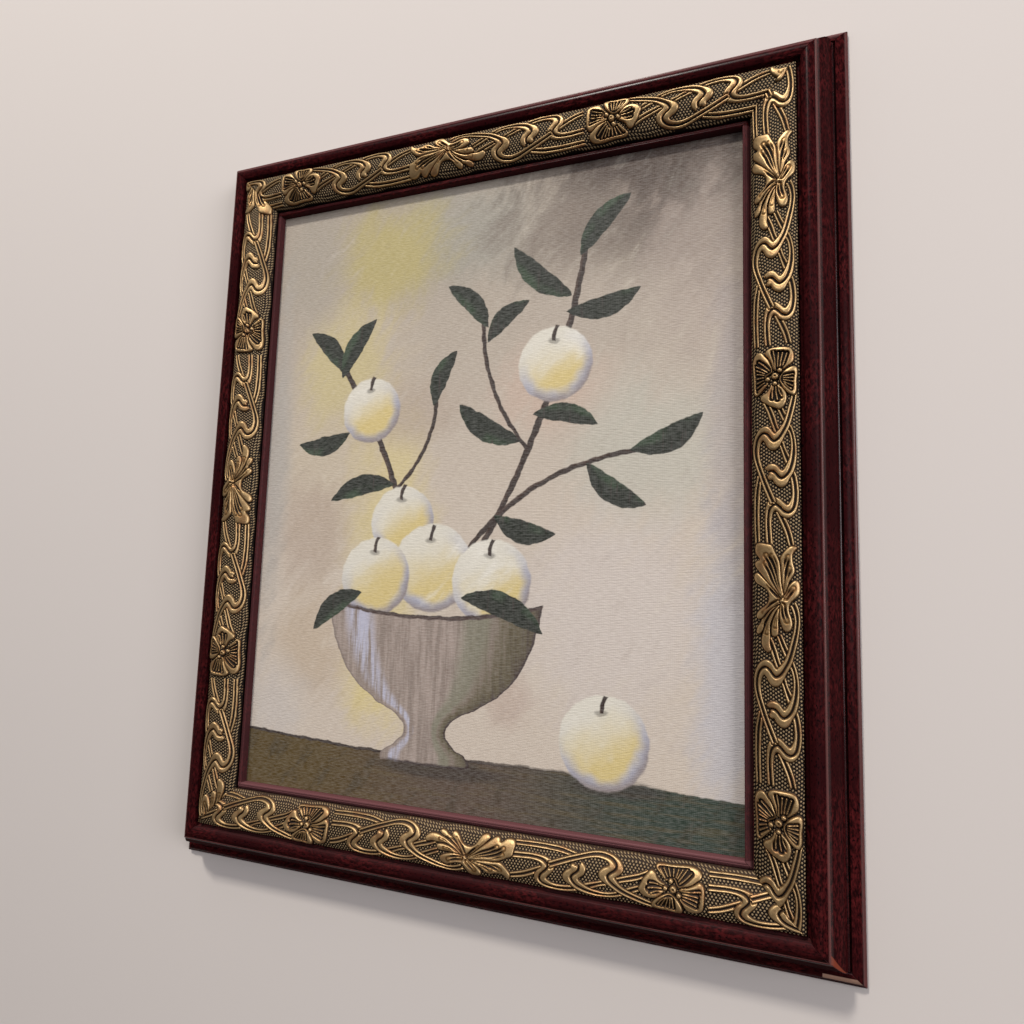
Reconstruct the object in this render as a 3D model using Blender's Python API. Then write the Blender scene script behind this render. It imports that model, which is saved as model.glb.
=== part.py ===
"""A painted canvas in a carved, lacquered frame, in metres, +Z up, facing -Y.

The back lies on the plane Y = 0, and the origin is the middle of the top rail's back face,
where the picture hangs. A rail is drawn as the top one, along X, with its moulding's section
in two measures: u runs outward from the sight edge, d runs forward from the wall. The other
three rails are the same drawing turned about Y. The ornament is a repeat of a flower, a
ribbon interlace, an iris spray and the interlace again, cut off at the mitres.
"""
import math

import bmesh
import bpy
from mathutils import Vector
from mathutils.geometry import delaunay_2d_cdt

# The opening that shows the picture
SIGHT_WIDTH = 0.394
SIGHT_HEIGHT = 0.489

# Play between pieces that touch
GAP = 0.0003

# Widths across the moulding, from the sight edge outward
LIP_WIDTH = 0.0053
BAND_WIDTH = 0.0299
COVE_WIDTH = 0.0028
RIM_WIDTH = 0.0094
OVOLO_WIDTH = 0.0117
QUIRK_WIDTH = 0.0026
FOOT_WIDTH = 0.0073

# Heights of the moulding above the wall
CANVAS_FRONT = 0.0165
LIP_FRONT = 0.0233
BAND_INNER = 0.0218
BAND_OUTER = 0.0281
CUSHION_RISE = 0.0056
COVE_FLOOR = 0.0265
RIM_INNER = 0.0308
RIM_FRONT = 0.0328
RIM_SHOULDER = 0.0295
OVOLO_START = 0.0283
OVOLO_END = 0.0062
QUIRK_FLOOR = 0.0038
FOOT_INNER = 0.0063
FOOT_OUTER = 0.0030

# Small steps of the moulding: the lip's two beads, its crevice, and the swell of its rounds
LIP_STEP = 0.0006
LIP_BEAD = 0.0024
CREVICE_WIDTH = 0.0008
CREVICE_DEPTH = 0.0009
CORNER_WIDTH = 0.0006
OVOLO_SWELL = 0.0026
FOOT_SWELL = 0.0018

# The rebate, the canvas in it, and the stretcher bars with a raised bead along their outer edge
REBATE_WIDTH = 0.0063
CANVAS_THICK = 0.0008
CANVAS_BACK = 0.0012
BAR_WIDTH = 0.038
BAR_BEAD = 0.0036
BAR_SLOPE = 0.0024
BAR_RELIEF = 0.0020
BAR_TILT = 0.0008

# The ornament: one repeat's length, and how far the forms stand proud of the band
REPEAT = 0.2775
RIBBON_RISE = 0.0013
LEAF_RISE = 0.0018
PETAL_RISE = 0.0020
BOSS_RISE = 0.0030
BOSS_RING_RISE = 0.0020
EDGE_SLOPE = 0.0010

# How the band is cut up: shares of its width with rows of points, their spacing, the length of
# its plain edges' steps, and how near two points are made one
SEED_ROWS = (0.07, 0.24, 0.5, 0.76, 0.93)
SEED_STEP = 0.016
SEED_CLEAR = 0.0015
EDGE_STEP = 0.060
MERGE_WITHIN = 0.00008
NEAR_ENOUGH = 0.00002

# Where a flower's centre lies along each rail, from the rail's middle, clockwise
FLOWER_PLACE = {"top": 0.1071, "right": 0.2175, "bottom": 0.1235, "left": 0.1386}
QUARTER_TURNS = {"top": 0, "right": 1, "bottom": 2, "left": 3}

# The repeat is drawn 281 units long and 30 units across, v running outward
DRAWN_REPEAT = 281.0
DRAWN_WIDTH = 30.0
SECOND_INTERLACE = 150.0

# Ribbons, as (along, across, half width)
WHIPLASH = [(13, 25.6, 1.8), (20, 25.0, 1.8), (27, 23.4, 1.9), (34, 20.8, 2.1), (40, 17.4, 2.3),
            (44.4, 15.2, 2.4), (45.4, 13.0, 2.6), (41.5, 11.2, 2.4), (37.4, 9.6, 2.6),
            (36.2, 7.2, 2.6), (39.8, 4.6, 2.3), (46, 2.9, 1.9), (54, 3.2, 1.8), (63, 5.4, 1.7),
            (72, 8.4, 1.7), (81, 12.0, 1.7)]
WHIPLASH_TAIL = [(92.5, 18.3, 2.0), (110.5, 23.8, 2.0)]
ARCH_STEM = [(21, 17.9, 1.7), (30, 20.6, 1.7)]
ARCH = [(34, 23.0, 1.6), (39, 24.8, 1.7), (46, 25.8, 1.7), (54, 25.5, 1.8), (61, 24.0, 2.1),
        (66.4, 21.8, 2.3), (69.6, 18.8, 2.6), (67, 15.6, 2.6), (63.4, 13.4, 3.0),
        (62.8, 11.4, 2.8)]
LOOP_STEM = [(19, 10.4, 1.7), (36, 15.8, 1.7)]
LOOP_MIDDLE = [(44.5, 18.6, 1.7), (55.5, 22.0, 1.7)]
LOOP = [(64, 25.0, 1.6), (70, 26.2, 1.7), (78, 26.6, 1.8), (85, 25.9, 2.1), (89.6, 23.6, 2.3),
        (90.6, 21.0, 2.4), (88, 18.2, 2.5), (84.2, 15.6, 2.6), (83.6, 13.0, 2.6), (87, 10.6, 2.2),
        (93, 9.7, 1.9), (110, 10.4, 1.9)]
LOW_RIBBON = [(65, 4.7, 1.6), (74, 3.4, 1.7), (92, 2.9, 1.7), (109, 3.3, 1.7)]
RIBBONS = [LOOP_STEM, LOOP_MIDDLE, LOOP, ARCH_STEM, ARCH, LOW_RIBBON, WHIPLASH, WHIPLASH_TAIL]

# The flower's petals and the iris's leaves, as closed outlines (along, across)
PETALS = [
    [(1.5, 18), (-1.6, 20.6), (-4.4, 24.4), (-4.8, 27.8), (-1.5, 28.7), (4, 27.8), (10, 28.7),
     (13.3, 27), (12.6, 24.2), (8.8, 20.6), (5, 18.4)],
    [(6.3, 15), (8, 18), (13, 21.8), (17.4, 22), (21.4, 20), (22.2, 17), (19.4, 13), (17.6, 9),
     (14.3, 6), (11.6, 7.2), (8, 11), (6, 13.2)],
    [(-1.6, 12.6), (-5.4, 13.4), (-11, 11.8), (-16.2, 8), (-17, 4), (-14.8, 1.8), (-10, 0.9),
     (-6.2, 1.6), (-4, 5), (-1.8, 9.4)],
    [(-1.5, 7.6), (-3.6, 4), (-5.4, 1.8), (5, 1.7), (10.6, 1.8), (12.2, 3.6), (10, 7.4), (4.6, 10.8),
     (1, 11)],
    [(-2.6, 17.6), (-5.4, 22), (-8, 25.6), (-12, 26.5), (-17, 25), (-19.4, 21), (-19.7, 13),
     (-18.4, 9.5), (-15, 9.8), (-12, 11.8), (-7, 13.6), (-3, 14.4)],
]
IRIS_LEAVES = [
    [(144, 20.4), (134, 22.2), (130.5, 24.6), (126, 25.5), (117, 24.8), (112, 27.2), (111, 22.6),
     (119.4, 16.2), (130, 17.6), (144, 18.8)],
    [(144, 18.8), (126, 17), (119.5, 15.8), (111, 11.6), (108.8, 5.2), (110.4, 2.3), (114.5, 1.9),
     (119.2, 4.6), (121, 1.9), (124, 1.9), (128.2, 4.8), (129.6, 1.3), (133, 1.2), (136.4, 5),
     (140, 9.2), (146, 9.3), (146.6, 16)],
    [(145, 18.4), (145.6, 9.4), (149, 6.4), (154.6, 2.7), (157, 3.9), (156.4, 5.6), (165, 2.6),
     (166.8, 3.8), (164.8, 6), (171.5, 5.3), (177.6, 7.6), (178.2, 10.8), (167, 10.7), (168, 13.6),
     (166, 15.8), (152, 16.2)],
    [(146.4, 18.6), (146.4, 21), (154, 22.8), (160, 24.3), (164, 22.6), (164, 19), (157, 16.2)],
    [(144.4, 19.8), (148.6, 21), (144, 26), (140, 29), (134.6, 28.9), (132.2, 26.3), (133.6, 23.4)],
]

# The boss and beads at the flower's centre, as (along, across, radius)
BOSSES = [(0.2, 14.5, 2.4), (-3.3, 17.6, 1.6), (5.2, 14.8, 1.6), (1.8, 10.2, 1.7)]
BOSS_SIDES = 6

# Colours as (red, green, blue), roughness, metallic
FINISHES = {
    "mahogany_lacquer": ((0.060, 0.012, 0.012), 0.28, 0.0),
    "painted_canvas": ((0.62, 0.56, 0.46), 0.75, 0.0),
    "pine": ((0.62, 0.44, 0.26), 0.70, 0.0),
}


def start_empty():
    """Remove whatever the file holds, so that the script can run again."""
    for old in list(bpy.data.objects):
        bpy.data.objects.remove(old, do_unlink=True)


def finish(name):
    """One material from its named colour, roughness and metallic value."""
    colour, roughness, metallic = FINISHES[name]
    material = bpy.data.materials.new(name)
    material.use_nodes = True
    shader = material.node_tree.nodes["Principled BSDF"]
    shader.inputs["Base Color"].default_value = (*colour, 1.0)
    shader.inputs["Roughness"].default_value = roughness
    shader.inputs["Metallic"].default_value = metallic
    return material


def arc(start, end, bulge, steps):
    """Points of a round stretch from start to end, bulging to the left of the way by bulge."""
    (u0, d0), (u1, d1) = start, end
    chord = math.hypot(u1 - u0, d1 - d0)
    side = (-(d1 - d0) / chord, (u1 - u0) / chord)
    points = []
    for step in range(1, steps):
        share = step / steps
        swell = bulge * 4 * share * (1 - share)
        points.append((u0 + (u1 - u0) * share + side[0] * swell,
                       d0 + (d1 - d0) * share + side[1] * swell))
    return [start] + points + [end]


def cushion(v):
    """Height of the bare band at v, a half ellipse over a slanted chord."""
    share = min(max(v / BAND_WIDTH, 0.0), 1.0)
    chord = BAND_INNER + (BAND_OUTER - BAND_INNER) * share
    return chord + CUSHION_RISE * math.sqrt(max(0.0, 1 - (2 * share - 1) ** 2))


def lip_section():
    """The lip, from the rebate's ledge round the sight edge to the band's inner edge."""
    return [
        (0.0, CANVAS_FRONT + GAP),
        (0.0, LIP_FRONT - LIP_STEP),
        (LIP_STEP, LIP_FRONT),
        (LIP_BEAD, LIP_FRONT),
        (LIP_BEAD + LIP_STEP, LIP_FRONT - LIP_STEP),
        (LIP_WIDTH - CREVICE_WIDTH, BAND_INNER - CREVICE_DEPTH),
    ]


def outer_section():
    """The cove, rim, ovolo, quirk and foot, from the band's outer edge round to the rebate."""
    cove = LIP_WIDTH + BAND_WIDTH
    rim = cove + COVE_WIDTH
    ovolo = rim + RIM_WIDTH
    quirk = ovolo + OVOLO_WIDTH
    foot = quirk + QUIRK_WIDTH
    edge = foot + FOOT_WIDTH
    rim_swell = RIM_FRONT - (RIM_INNER + RIM_SHOULDER) / 2
    points = [(cove + CORNER_WIDTH, COVE_FLOOR), (rim - CORNER_WIDTH, COVE_FLOOR)]
    points += arc((rim, RIM_INNER), (ovolo, RIM_SHOULDER), rim_swell, 6)
    points += arc((ovolo + CORNER_WIDTH, OVOLO_START), (quirk, OVOLO_END), OVOLO_SWELL, 5)
    points += [(quirk + CORNER_WIDTH, QUIRK_FLOOR), (foot, QUIRK_FLOOR)]
    points += arc((foot + CORNER_WIDTH, FOOT_INNER), (edge, FOOT_OUTER), FOOT_SWELL, 4)
    points += [(edge, 0.0), (REBATE_WIDTH, 0.0), (REBATE_WIDTH, CANVAS_FRONT + GAP)]
    return points


def rail_width():
    """The whole moulding, from sight edge to outer edge."""
    return (LIP_WIDTH + BAND_WIDTH + COVE_WIDTH + RIM_WIDTH + OVOLO_WIDTH
            + QUIRK_WIDTH + FOOT_WIDTH)


def half_length(opening, u):
    """Half a mitred piece's length at u, with its share of the joint's play."""
    return opening / 2 + u - GAP * math.sqrt(0.5)


def to_segment(point, start, end):
    """Distance from a point to a segment, and how far along the segment it is met."""
    way = end - start
    share = min(max((point - start).dot(way) / max(way.length_squared, 1e-12), 0.0), 1.0)
    return (point - start - way * share).length, share


class Ribbon:
    """A strap with a ridge along its middle, falling to the band at its two edges."""

    def __init__(self, stations, place):
        self.line = [place(along, across) for along, across, half in stations]
        self.half = [half * BAND_WIDTH / DRAWN_WIDTH for along, across, half in stations]

    def lines(self):
        sides = [[], list(self.line), []]
        last = len(self.line) - 1
        for index, point in enumerate(self.line):
            way = self.line[min(index + 1, last)] - self.line[max(index - 1, 0)]
            across = Vector((-way.y, way.x)).normalized() * self.half[index]
            sides[0].append(point + across)
            sides[2].append(point - across)
        return [(side, False) for side in sides]

    def height(self, point):
        best = 0.0
        for index in range(len(self.line) - 1):
            gap, share = to_segment(point, self.line[index], self.line[index + 1])
            half = self.half[index] + (self.half[index + 1] - self.half[index]) * share
            best = max(best, 1 - gap / half)
        return RIBBON_RISE * best


class Leaf:
    """A petal or leaf: a closed outline with sloping sides and a raised face."""

    def __init__(self, outline, rise, place):
        self.outline = [place(along, across) for along, across in outline]
        self.rise = rise

    def inset(self):
        count = len(self.outline)
        area = sum(self.outline[i].cross(self.outline[(i + 1) % count]) for i in range(count))
        inward = 1.0 if area > 0 else -1.0
        points = []
        for index, point in enumerate(self.outline):
            before = (point - self.outline[index - 1]).normalized()
            after = (self.outline[(index + 1) % count] - point).normalized()
            way = (before + after).normalized()
            points.append(point + Vector((-way.y, way.x)) * inward * EDGE_SLOPE)
        return points

    def lines(self):
        return [(self.outline, True), (self.inset(), True)]

    def height(self, point):
        count = len(self.outline)
        inside = False
        nearest = 1.0
        for index in range(count):
            a, b = self.outline[index], self.outline[(index + 1) % count]
            nearest = min(nearest, to_segment(point, a, b)[0])
            if (a.y > point.y) != (b.y > point.y):
                if point.x < a.x + (b.x - a.x) * (point.y - a.y) / (b.y - a.y):
                    inside = not inside
        full_at = EDGE_SLOPE - MERGE_WITHIN
        return self.rise * min(1.0, nearest / full_at) if inside else 0.0


class Boss:
    """A low cone at the flower's heart."""

    def __init__(self, along, across, radius, place):
        self.centre = place(along, across)
        self.radius = radius * BAND_WIDTH / DRAWN_WIDTH

    def lines(self):
        ring = []
        for side in range(BOSS_SIDES):
            angle = 2 * math.pi * side / BOSS_SIDES
            ring.append(self.centre + Vector((math.cos(angle), math.sin(angle))) * self.radius)
        return [(ring, True), ([self.centre], False)]

    def height(self, point):
        away = (point - self.centre).length
        if away < MERGE_WITHIN:
            return BOSS_RISE
        return BOSS_RING_RISE if away < self.radius + NEAR_ENOUGH else 0.0


def ornament(flower_place, half_span):
    """Every form of the repeat that reaches a rail, as placed ribbons, leaves and bosses."""
    forms = []
    first = -int(math.ceil((half_span + flower_place) / REPEAT)) - 1
    last = int(math.ceil((half_span - flower_place) / REPEAT)) + 1
    for copy in range(first, last + 1):
        start = flower_place + copy * REPEAT

        def place(along, across):
            return Vector((start + along * REPEAT / DRAWN_REPEAT,
                           across * BAND_WIDTH / DRAWN_WIDTH))

        def place_second(along, across):
            return place(along + SECOND_INTERLACE, across)

        for stations in RIBBONS:
            forms.append(Ribbon(stations, place))
            forms.append(Ribbon(stations, place_second))
        forms += [Leaf(outline, PETAL_RISE, place) for outline in PETALS]
        forms += [Leaf(outline, LEAF_RISE, place) for outline in IRIS_LEAVES]
        forms += [Boss(along, across, radius, place) for along, across, radius in BOSSES]
    return [form for form in forms if any(abs(p.x) < half_span for line, closed in form.lines()
                                          for p in line)]


def relief_height(forms, point):
    """How far the ornament stands proud of the band at a point: the highest form there."""
    return max((form.height(point) for form in forms), default=0.0)


def forms_near(forms, point, reach):
    """The forms whose lines come within reach of a point along the rail."""
    return [form for form in forms if form.low - reach < point.x < form.high + reach]


def band_net(opening, flower_place):
    """Cut the band into triangles along the ornament's lines: points, heights, triangles."""
    end_inner = half_length(opening, LIP_WIDTH)
    end_outer = half_length(opening, LIP_WIDTH + BAND_WIDTH)
    forms = ornament(flower_place, end_outer)
    for form in forms:
        spread = [p.x for line, closed in form.lines() for p in line]
        form.low = min(spread)
        form.high = max(spread)

    points = []
    edges = []

    def edge_row(half, v):
        steps = int(math.ceil(2 * half / EDGE_STEP))
        return [Vector((-half + 2 * half * step / steps, v)) for step in range(steps + 1)]

    outline = edge_row(end_inner, 0.0) + edge_row(end_outer, BAND_WIDTH)[::-1]
    points += outline
    rim = list(range(len(outline)))

    def inside(point):
        reach = end_inner + (end_outer - end_inner) * point.y / BAND_WIDTH
        return abs(point.x) < reach

    for form in forms:
        for line, closed in form.lines():
            base = len(points)
            points += line
            count = len(line)
            for index in range(count if closed else count - 1):
                if inside(line[index]) or inside(line[(index + 1) % count]):
                    edges.append((base + index, base + (index + 1) % count))

    for row, share in enumerate(SEED_ROWS):
        v = BAND_WIDTH * share
        half = half_length(opening, LIP_WIDTH + v) - SEED_STEP / 3
        steps = int(2 * half / SEED_STEP)
        for step in range(steps + 1):
            seed = Vector((-half + 2 * half * (step + 0.5 * (row % 2)) / steps, v))
            around = [seed + Vector((dx, dv)) * SEED_CLEAR for dx in (-1, 0, 1)
                      for dv in (-1, 0, 1)]
            near = forms_near(forms, seed, SEED_CLEAR)
            if inside(seed) and all(relief_height(near, p) == 0.0 for p in around):
                points.append(seed)

    out_points, out_edges, out_faces, from_points, from_edges, from_faces = delaunay_2d_cdt(
        points, edges, [rim], 1, MERGE_WITHIN)
    triangles = [face for face, origin in zip(out_faces, from_faces) if origin]
    heights = []
    for point in out_points:
        near = forms_near(forms, point, NEAR_ENOUGH)
        heights.append(cushion(point.y) + relief_height(near, point))
    return out_points, heights, triangles


def net_boundary(opening, flat, triangles):
    """The net's outer loop, counter-clockwise from its inner left corner, and its corners."""
    following = {}
    for triangle in triangles:
        for index in range(3):
            following[(triangle[index], triangle[(index + 1) % 3])] = True
    after = {a: b for a, b in following if (b, a) not in following}
    corners = []
    for sign, v in ((-1, 0.0), (1, 0.0), (1, BAND_WIDTH), (-1, BAND_WIDTH)):
        corner = Vector((sign * half_length(opening, LIP_WIDTH + v), v))
        corners.append(min(after, key=lambda index: (flat[index] - corner).length))
    loop = [corners[0]]
    while after[loop[-1]] != corners[0]:
        loop.append(after[loop[-1]])
    loop.append(corners[0])
    return loop, [0] + [loop.index(corner) for corner in corners[1:]] + [len(loop) - 1]


def fan_strip(mesh, row, first, last):
    """Fill between a straight row of vertices and an edge of two, with a fan from each of these."""
    middle = len(row) // 2
    for index in range(len(row) - 1):
        tip = first if index < middle else last
        mesh.faces.new([row[index], row[index + 1], tip])
    mesh.faces.new([first, row[middle], last])


def carved_rail(name, side, material, centre):
    """One rail: the carved band's triangles, the mouldings either side, and two mitred ends."""
    opening = SIGHT_WIDTH if side in ("top", "bottom") else SIGHT_HEIGHT
    across = SIGHT_HEIGHT if side in ("top", "bottom") else SIGHT_WIDTH
    flat, heights, triangles = band_net(opening, FLOWER_PLACE[side])

    loop, corners = net_boundary(opening, flat, triangles)
    inner_row, right_end, outer_row, left_end = [
        loop[corners[side_index]:corners[side_index + 1] + 1] for side_index in range(4)]
    for row, sign in ((right_end, 1), (left_end, -1)):
        for index in row:
            flat[index].x = sign * half_length(opening, LIP_WIDTH + flat[index].y)

    mesh = bmesh.new()
    carved = [mesh.verts.new((p.x, -height, across / 2 + LIP_WIDTH + p.y))
              for p, height in zip(flat, heights)]
    for triangle in triangles:
        mesh.faces.new([carved[index] for index in reversed(triangle)])

    section = outer_section() + lip_section()
    rows = []
    for u, d in section:
        half = half_length(opening, u)
        rows.append([mesh.verts.new((sign * half, -d, across / 2 + u)) for sign in (-1, 1)])
    for low, high in zip(rows, rows[1:]):
        mesh.faces.new([low[1], low[0], high[0], high[1]])
    fan_strip(mesh, [carved[index] for index in outer_row], rows[0][1], rows[0][0])
    fan_strip(mesh, [carved[index] for index in inner_row], rows[-1][0], rows[-1][1])
    mesh.faces.new([carved[index] for index in right_end] + [row[1] for row in rows])
    mesh.faces.new([carved[index] for index in left_end[::-1]] + [row[0] for row in rows])

    bmesh.ops.triangulate(mesh, faces=mesh.faces[:], ngon_method="EAR_CLIP")
    bmesh.ops.recalc_face_normals(mesh, faces=mesh.faces[:])
    return place_side(mesh, name, side, material, centre)


def plain_bar(name, side, width, height, section, material, centre):
    """A mitred bar of one section, drawn along the top of a rectangle and turned to its side."""
    opening, across = (width, height) if side in ("top", "bottom") else (height, width)
    mesh = bmesh.new()
    rings = []
    for sign in (-1, 1):
        rings.append([mesh.verts.new((sign * half_length(opening, u), -d, across / 2 + u))
                      for u, d in section])
    count = len(section)
    for index in range(count):
        following = (index + 1) % count
        mesh.faces.new([rings[0][index], rings[0][following], rings[1][following],
                        rings[1][index]])
    mesh.faces.new(rings[0])
    mesh.faces.new(rings[1][::-1])
    bmesh.ops.recalc_face_normals(mesh, faces=mesh.faces[:])
    return place_side(mesh, name, side, material, centre)


def place_side(mesh, name, side, material, centre):
    """Make the object, turn it to its side of the frame and hang it on the centre."""
    data = bpy.data.meshes.new(name)
    mesh.to_mesh(data)
    mesh.free()
    piece = bpy.data.objects.new(name, data)
    bpy.context.collection.objects.link(piece)
    piece.data.materials.append(material)
    piece.rotation_euler = (0.0, QUARTER_TURNS[side] * math.pi / 2, 0.0)
    piece.parent = centre
    return piece


def canvas_sheet(name, material, centre):
    """The canvas: a flat front with its four sides turned back, open behind."""
    half_w = SIGHT_WIDTH / 2 + REBATE_WIDTH - GAP
    half_h = SIGHT_HEIGHT / 2 + REBATE_WIDTH - GAP
    mesh = bmesh.new()

    def ring(inset, d):
        w, h = half_w - inset, half_h - inset
        return [mesh.verts.new((x, -d, z)) for x, z in ((-w, -h), (w, -h), (w, h), (-w, h))]

    rings = [ring(0.0, CANVAS_FRONT), ring(0.0, CANVAS_BACK), ring(CANVAS_THICK, CANVAS_BACK),
             ring(CANVAS_THICK, CANVAS_FRONT - CANVAS_THICK)]
    for outer, inner in zip(rings, rings[1:]):
        for index in range(4):
            following = (index + 1) % 4
            mesh.faces.new([outer[index], outer[following], inner[following], inner[index]])
    mesh.faces.new(rings[0])
    mesh.faces.new(rings[-1][::-1])
    bmesh.ops.recalc_face_normals(mesh, faces=mesh.faces[:])
    return place_side(mesh, name, "top", material, centre)


def stretcher_section():
    """A bar's section, outward from its inner edge, relieved behind the canvas's middle."""
    front = CANVAS_FRONT - CANVAS_THICK - GAP
    return [
        (0.0, CANVAS_BACK),
        (0.0, front - BAR_RELIEF),
        (BAR_WIDTH - BAR_BEAD - BAR_SLOPE, front - BAR_RELIEF + BAR_TILT),
        (BAR_WIDTH - BAR_BEAD, front),
        (BAR_WIDTH, front),
        (BAR_WIDTH, CANVAS_BACK),
    ]


def build():
    """The four rails, the canvas and its four stretcher bars around the picture's middle."""
    start_empty()
    centre = bpy.data.objects.new("picture_centre", None)
    bpy.context.collection.objects.link(centre)
    hanging_height = (REBATE_WIDTH + rail_width()) / 2
    centre.location = (0.0, 0.0, -(SIGHT_HEIGHT / 2 + hanging_height))

    lacquer = finish("mahogany_lacquer")
    for side in QUARTER_TURNS:
        carved_rail("rail_" + side, side, lacquer, centre)

    canvas_sheet("canvas", finish("painted_canvas"), centre)

    pine = finish("pine")
    hidden = REBATE_WIDTH - 2 * GAP - CANVAS_THICK - BAR_WIDTH
    for side in QUARTER_TURNS:
        plain_bar("stretcher_" + side, side, SIGHT_WIDTH + 2 * hidden, SIGHT_HEIGHT + 2 * hidden,
                  stretcher_section(), pine, centre)


build()
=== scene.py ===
"""The looks of a painted canvas in a carved and lacquered frame, built around its fixed frame.

Lengths are in millimetres until a mesh is made. A rail is worked out as the top one, in three
measures: s runs along it, clockwise round the frame and from its middle, u runs outward from
the edge of the opening, and d runs forward from the wall. turn_to_side then takes it to its
own side.
"""
import math

import bpy
import numpy as np
from mathutils import Matrix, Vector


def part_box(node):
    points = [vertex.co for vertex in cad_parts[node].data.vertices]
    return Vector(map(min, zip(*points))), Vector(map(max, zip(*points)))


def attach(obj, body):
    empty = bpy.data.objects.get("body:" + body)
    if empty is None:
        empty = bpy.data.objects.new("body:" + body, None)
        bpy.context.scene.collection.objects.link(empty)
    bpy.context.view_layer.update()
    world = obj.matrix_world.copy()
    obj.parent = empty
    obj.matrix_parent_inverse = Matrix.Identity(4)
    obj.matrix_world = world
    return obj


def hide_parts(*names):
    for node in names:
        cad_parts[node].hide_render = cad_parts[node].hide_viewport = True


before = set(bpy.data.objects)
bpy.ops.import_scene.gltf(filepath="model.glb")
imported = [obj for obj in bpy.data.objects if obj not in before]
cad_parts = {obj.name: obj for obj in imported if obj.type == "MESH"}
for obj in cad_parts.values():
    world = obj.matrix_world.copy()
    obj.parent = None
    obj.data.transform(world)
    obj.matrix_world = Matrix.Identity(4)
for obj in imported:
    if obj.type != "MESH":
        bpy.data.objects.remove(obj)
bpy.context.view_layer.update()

# Millimetres in a metre, the opening's middle and size as the rails leave it, and how far a rail
# stops short of the mitre's line
MM = 1000.0
side_low, side_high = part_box("rail_right")
head_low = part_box("rail_top")[0]
CENTRE_Z = (side_low.z + side_high.z) / 2 * MM
OPENING_WIDTH = 2 * side_low.x * MM
OPENING_HEIGHT = 2 * (head_low.z * MM - CENTRE_Z)
QUARTER_TURNS = {"top": 0, "right": 1, "bottom": 2, "left": 3}
MITRE_PLAY = 0.3 * math.sqrt(0.5)

# The moulding's section, in the same sizes as the solids: widths outward from the opening, then
# heights forward from the wall
LIP_WIDTH = 5.3
BAND_WIDTH = 29.9
COVE_WIDTH = 2.8
RIM_WIDTH = 9.4
OVOLO_WIDTH = 11.7
QUIRK_WIDTH = 2.6
FOOT_WIDTH = 7.3
CANVAS_FRONT = 16.5
LEDGE = 16.8
LIP_FRONT = 23.3
BAND_INNER = 21.8
BAND_OUTER = 28.1
CUSHION_RISE = 5.6
COVE_FLOOR = 26.5
RIM_INNER = 30.8
RIM_SHOULDER = 30.3
OVOLO_START = 28.3
OVOLO_END = 6.2
QUIRK_FLOOR = 3.8
FOOT_INNER = 6.3
FOOT_OUTER = 3.0
REBATE_WIDTH = 6.3
BAND_BED = 1.2

# The ornament's repeat and where a flower lies on each rail. Its drawing is in millimetres too:
# along the rail from the flower and clockwise, and outward from the opening's edge
REPEAT = 277.9
DRAWN_OUT = {"top": 0.5, "right": 0.2, "bottom": 0.9, "left": 0.9}
FLOWER_PLACE = {"top": 104.5, "right": 215.6, "bottom": 122.1, "left": 136.1}
SECOND_INTERLACE = 148.8
TILE_START = -20.0
TILE_STEP = 0.15

# How the carving is cut: heights of forms, the dark line round each, and the pebbled ground,
# whose first rows are drawn up the band's steep inner edge
RIDGE_RISE = 1.45
STRAP_FLOOR = 0.2
STRAP_GROOVE = 0.55
LEAF_RISE = 1.9
PETAL_RISE = 2.2
CONTOUR = 0.55
EDGE_ROLL = 0.8
RIB_HALF = 0.44
LEAF_TAPER = 4.5
PETAL_TAPER = 0.8
PEBBLE_PITCH = 2.35
PEBBLE_ROW = 1.6
PEBBLE_RISE = 0.5
HATCH_TOP = 8.4
HATCH_ROW = 2.8
HATCH_LEAN = -0.3
PEBBLE_HALF = (0.32, 0.46)
FIRST_ROWS_PULL = 1.6

# Cells of a carved band along and across it, and how many of them one cell of its bed spans
BAND_CELLS = {"top": 1200, "bottom": 1200, "left": 1230, "right": 1230}
BAND_ROWS = 78
BED_RATIO = 30

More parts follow.
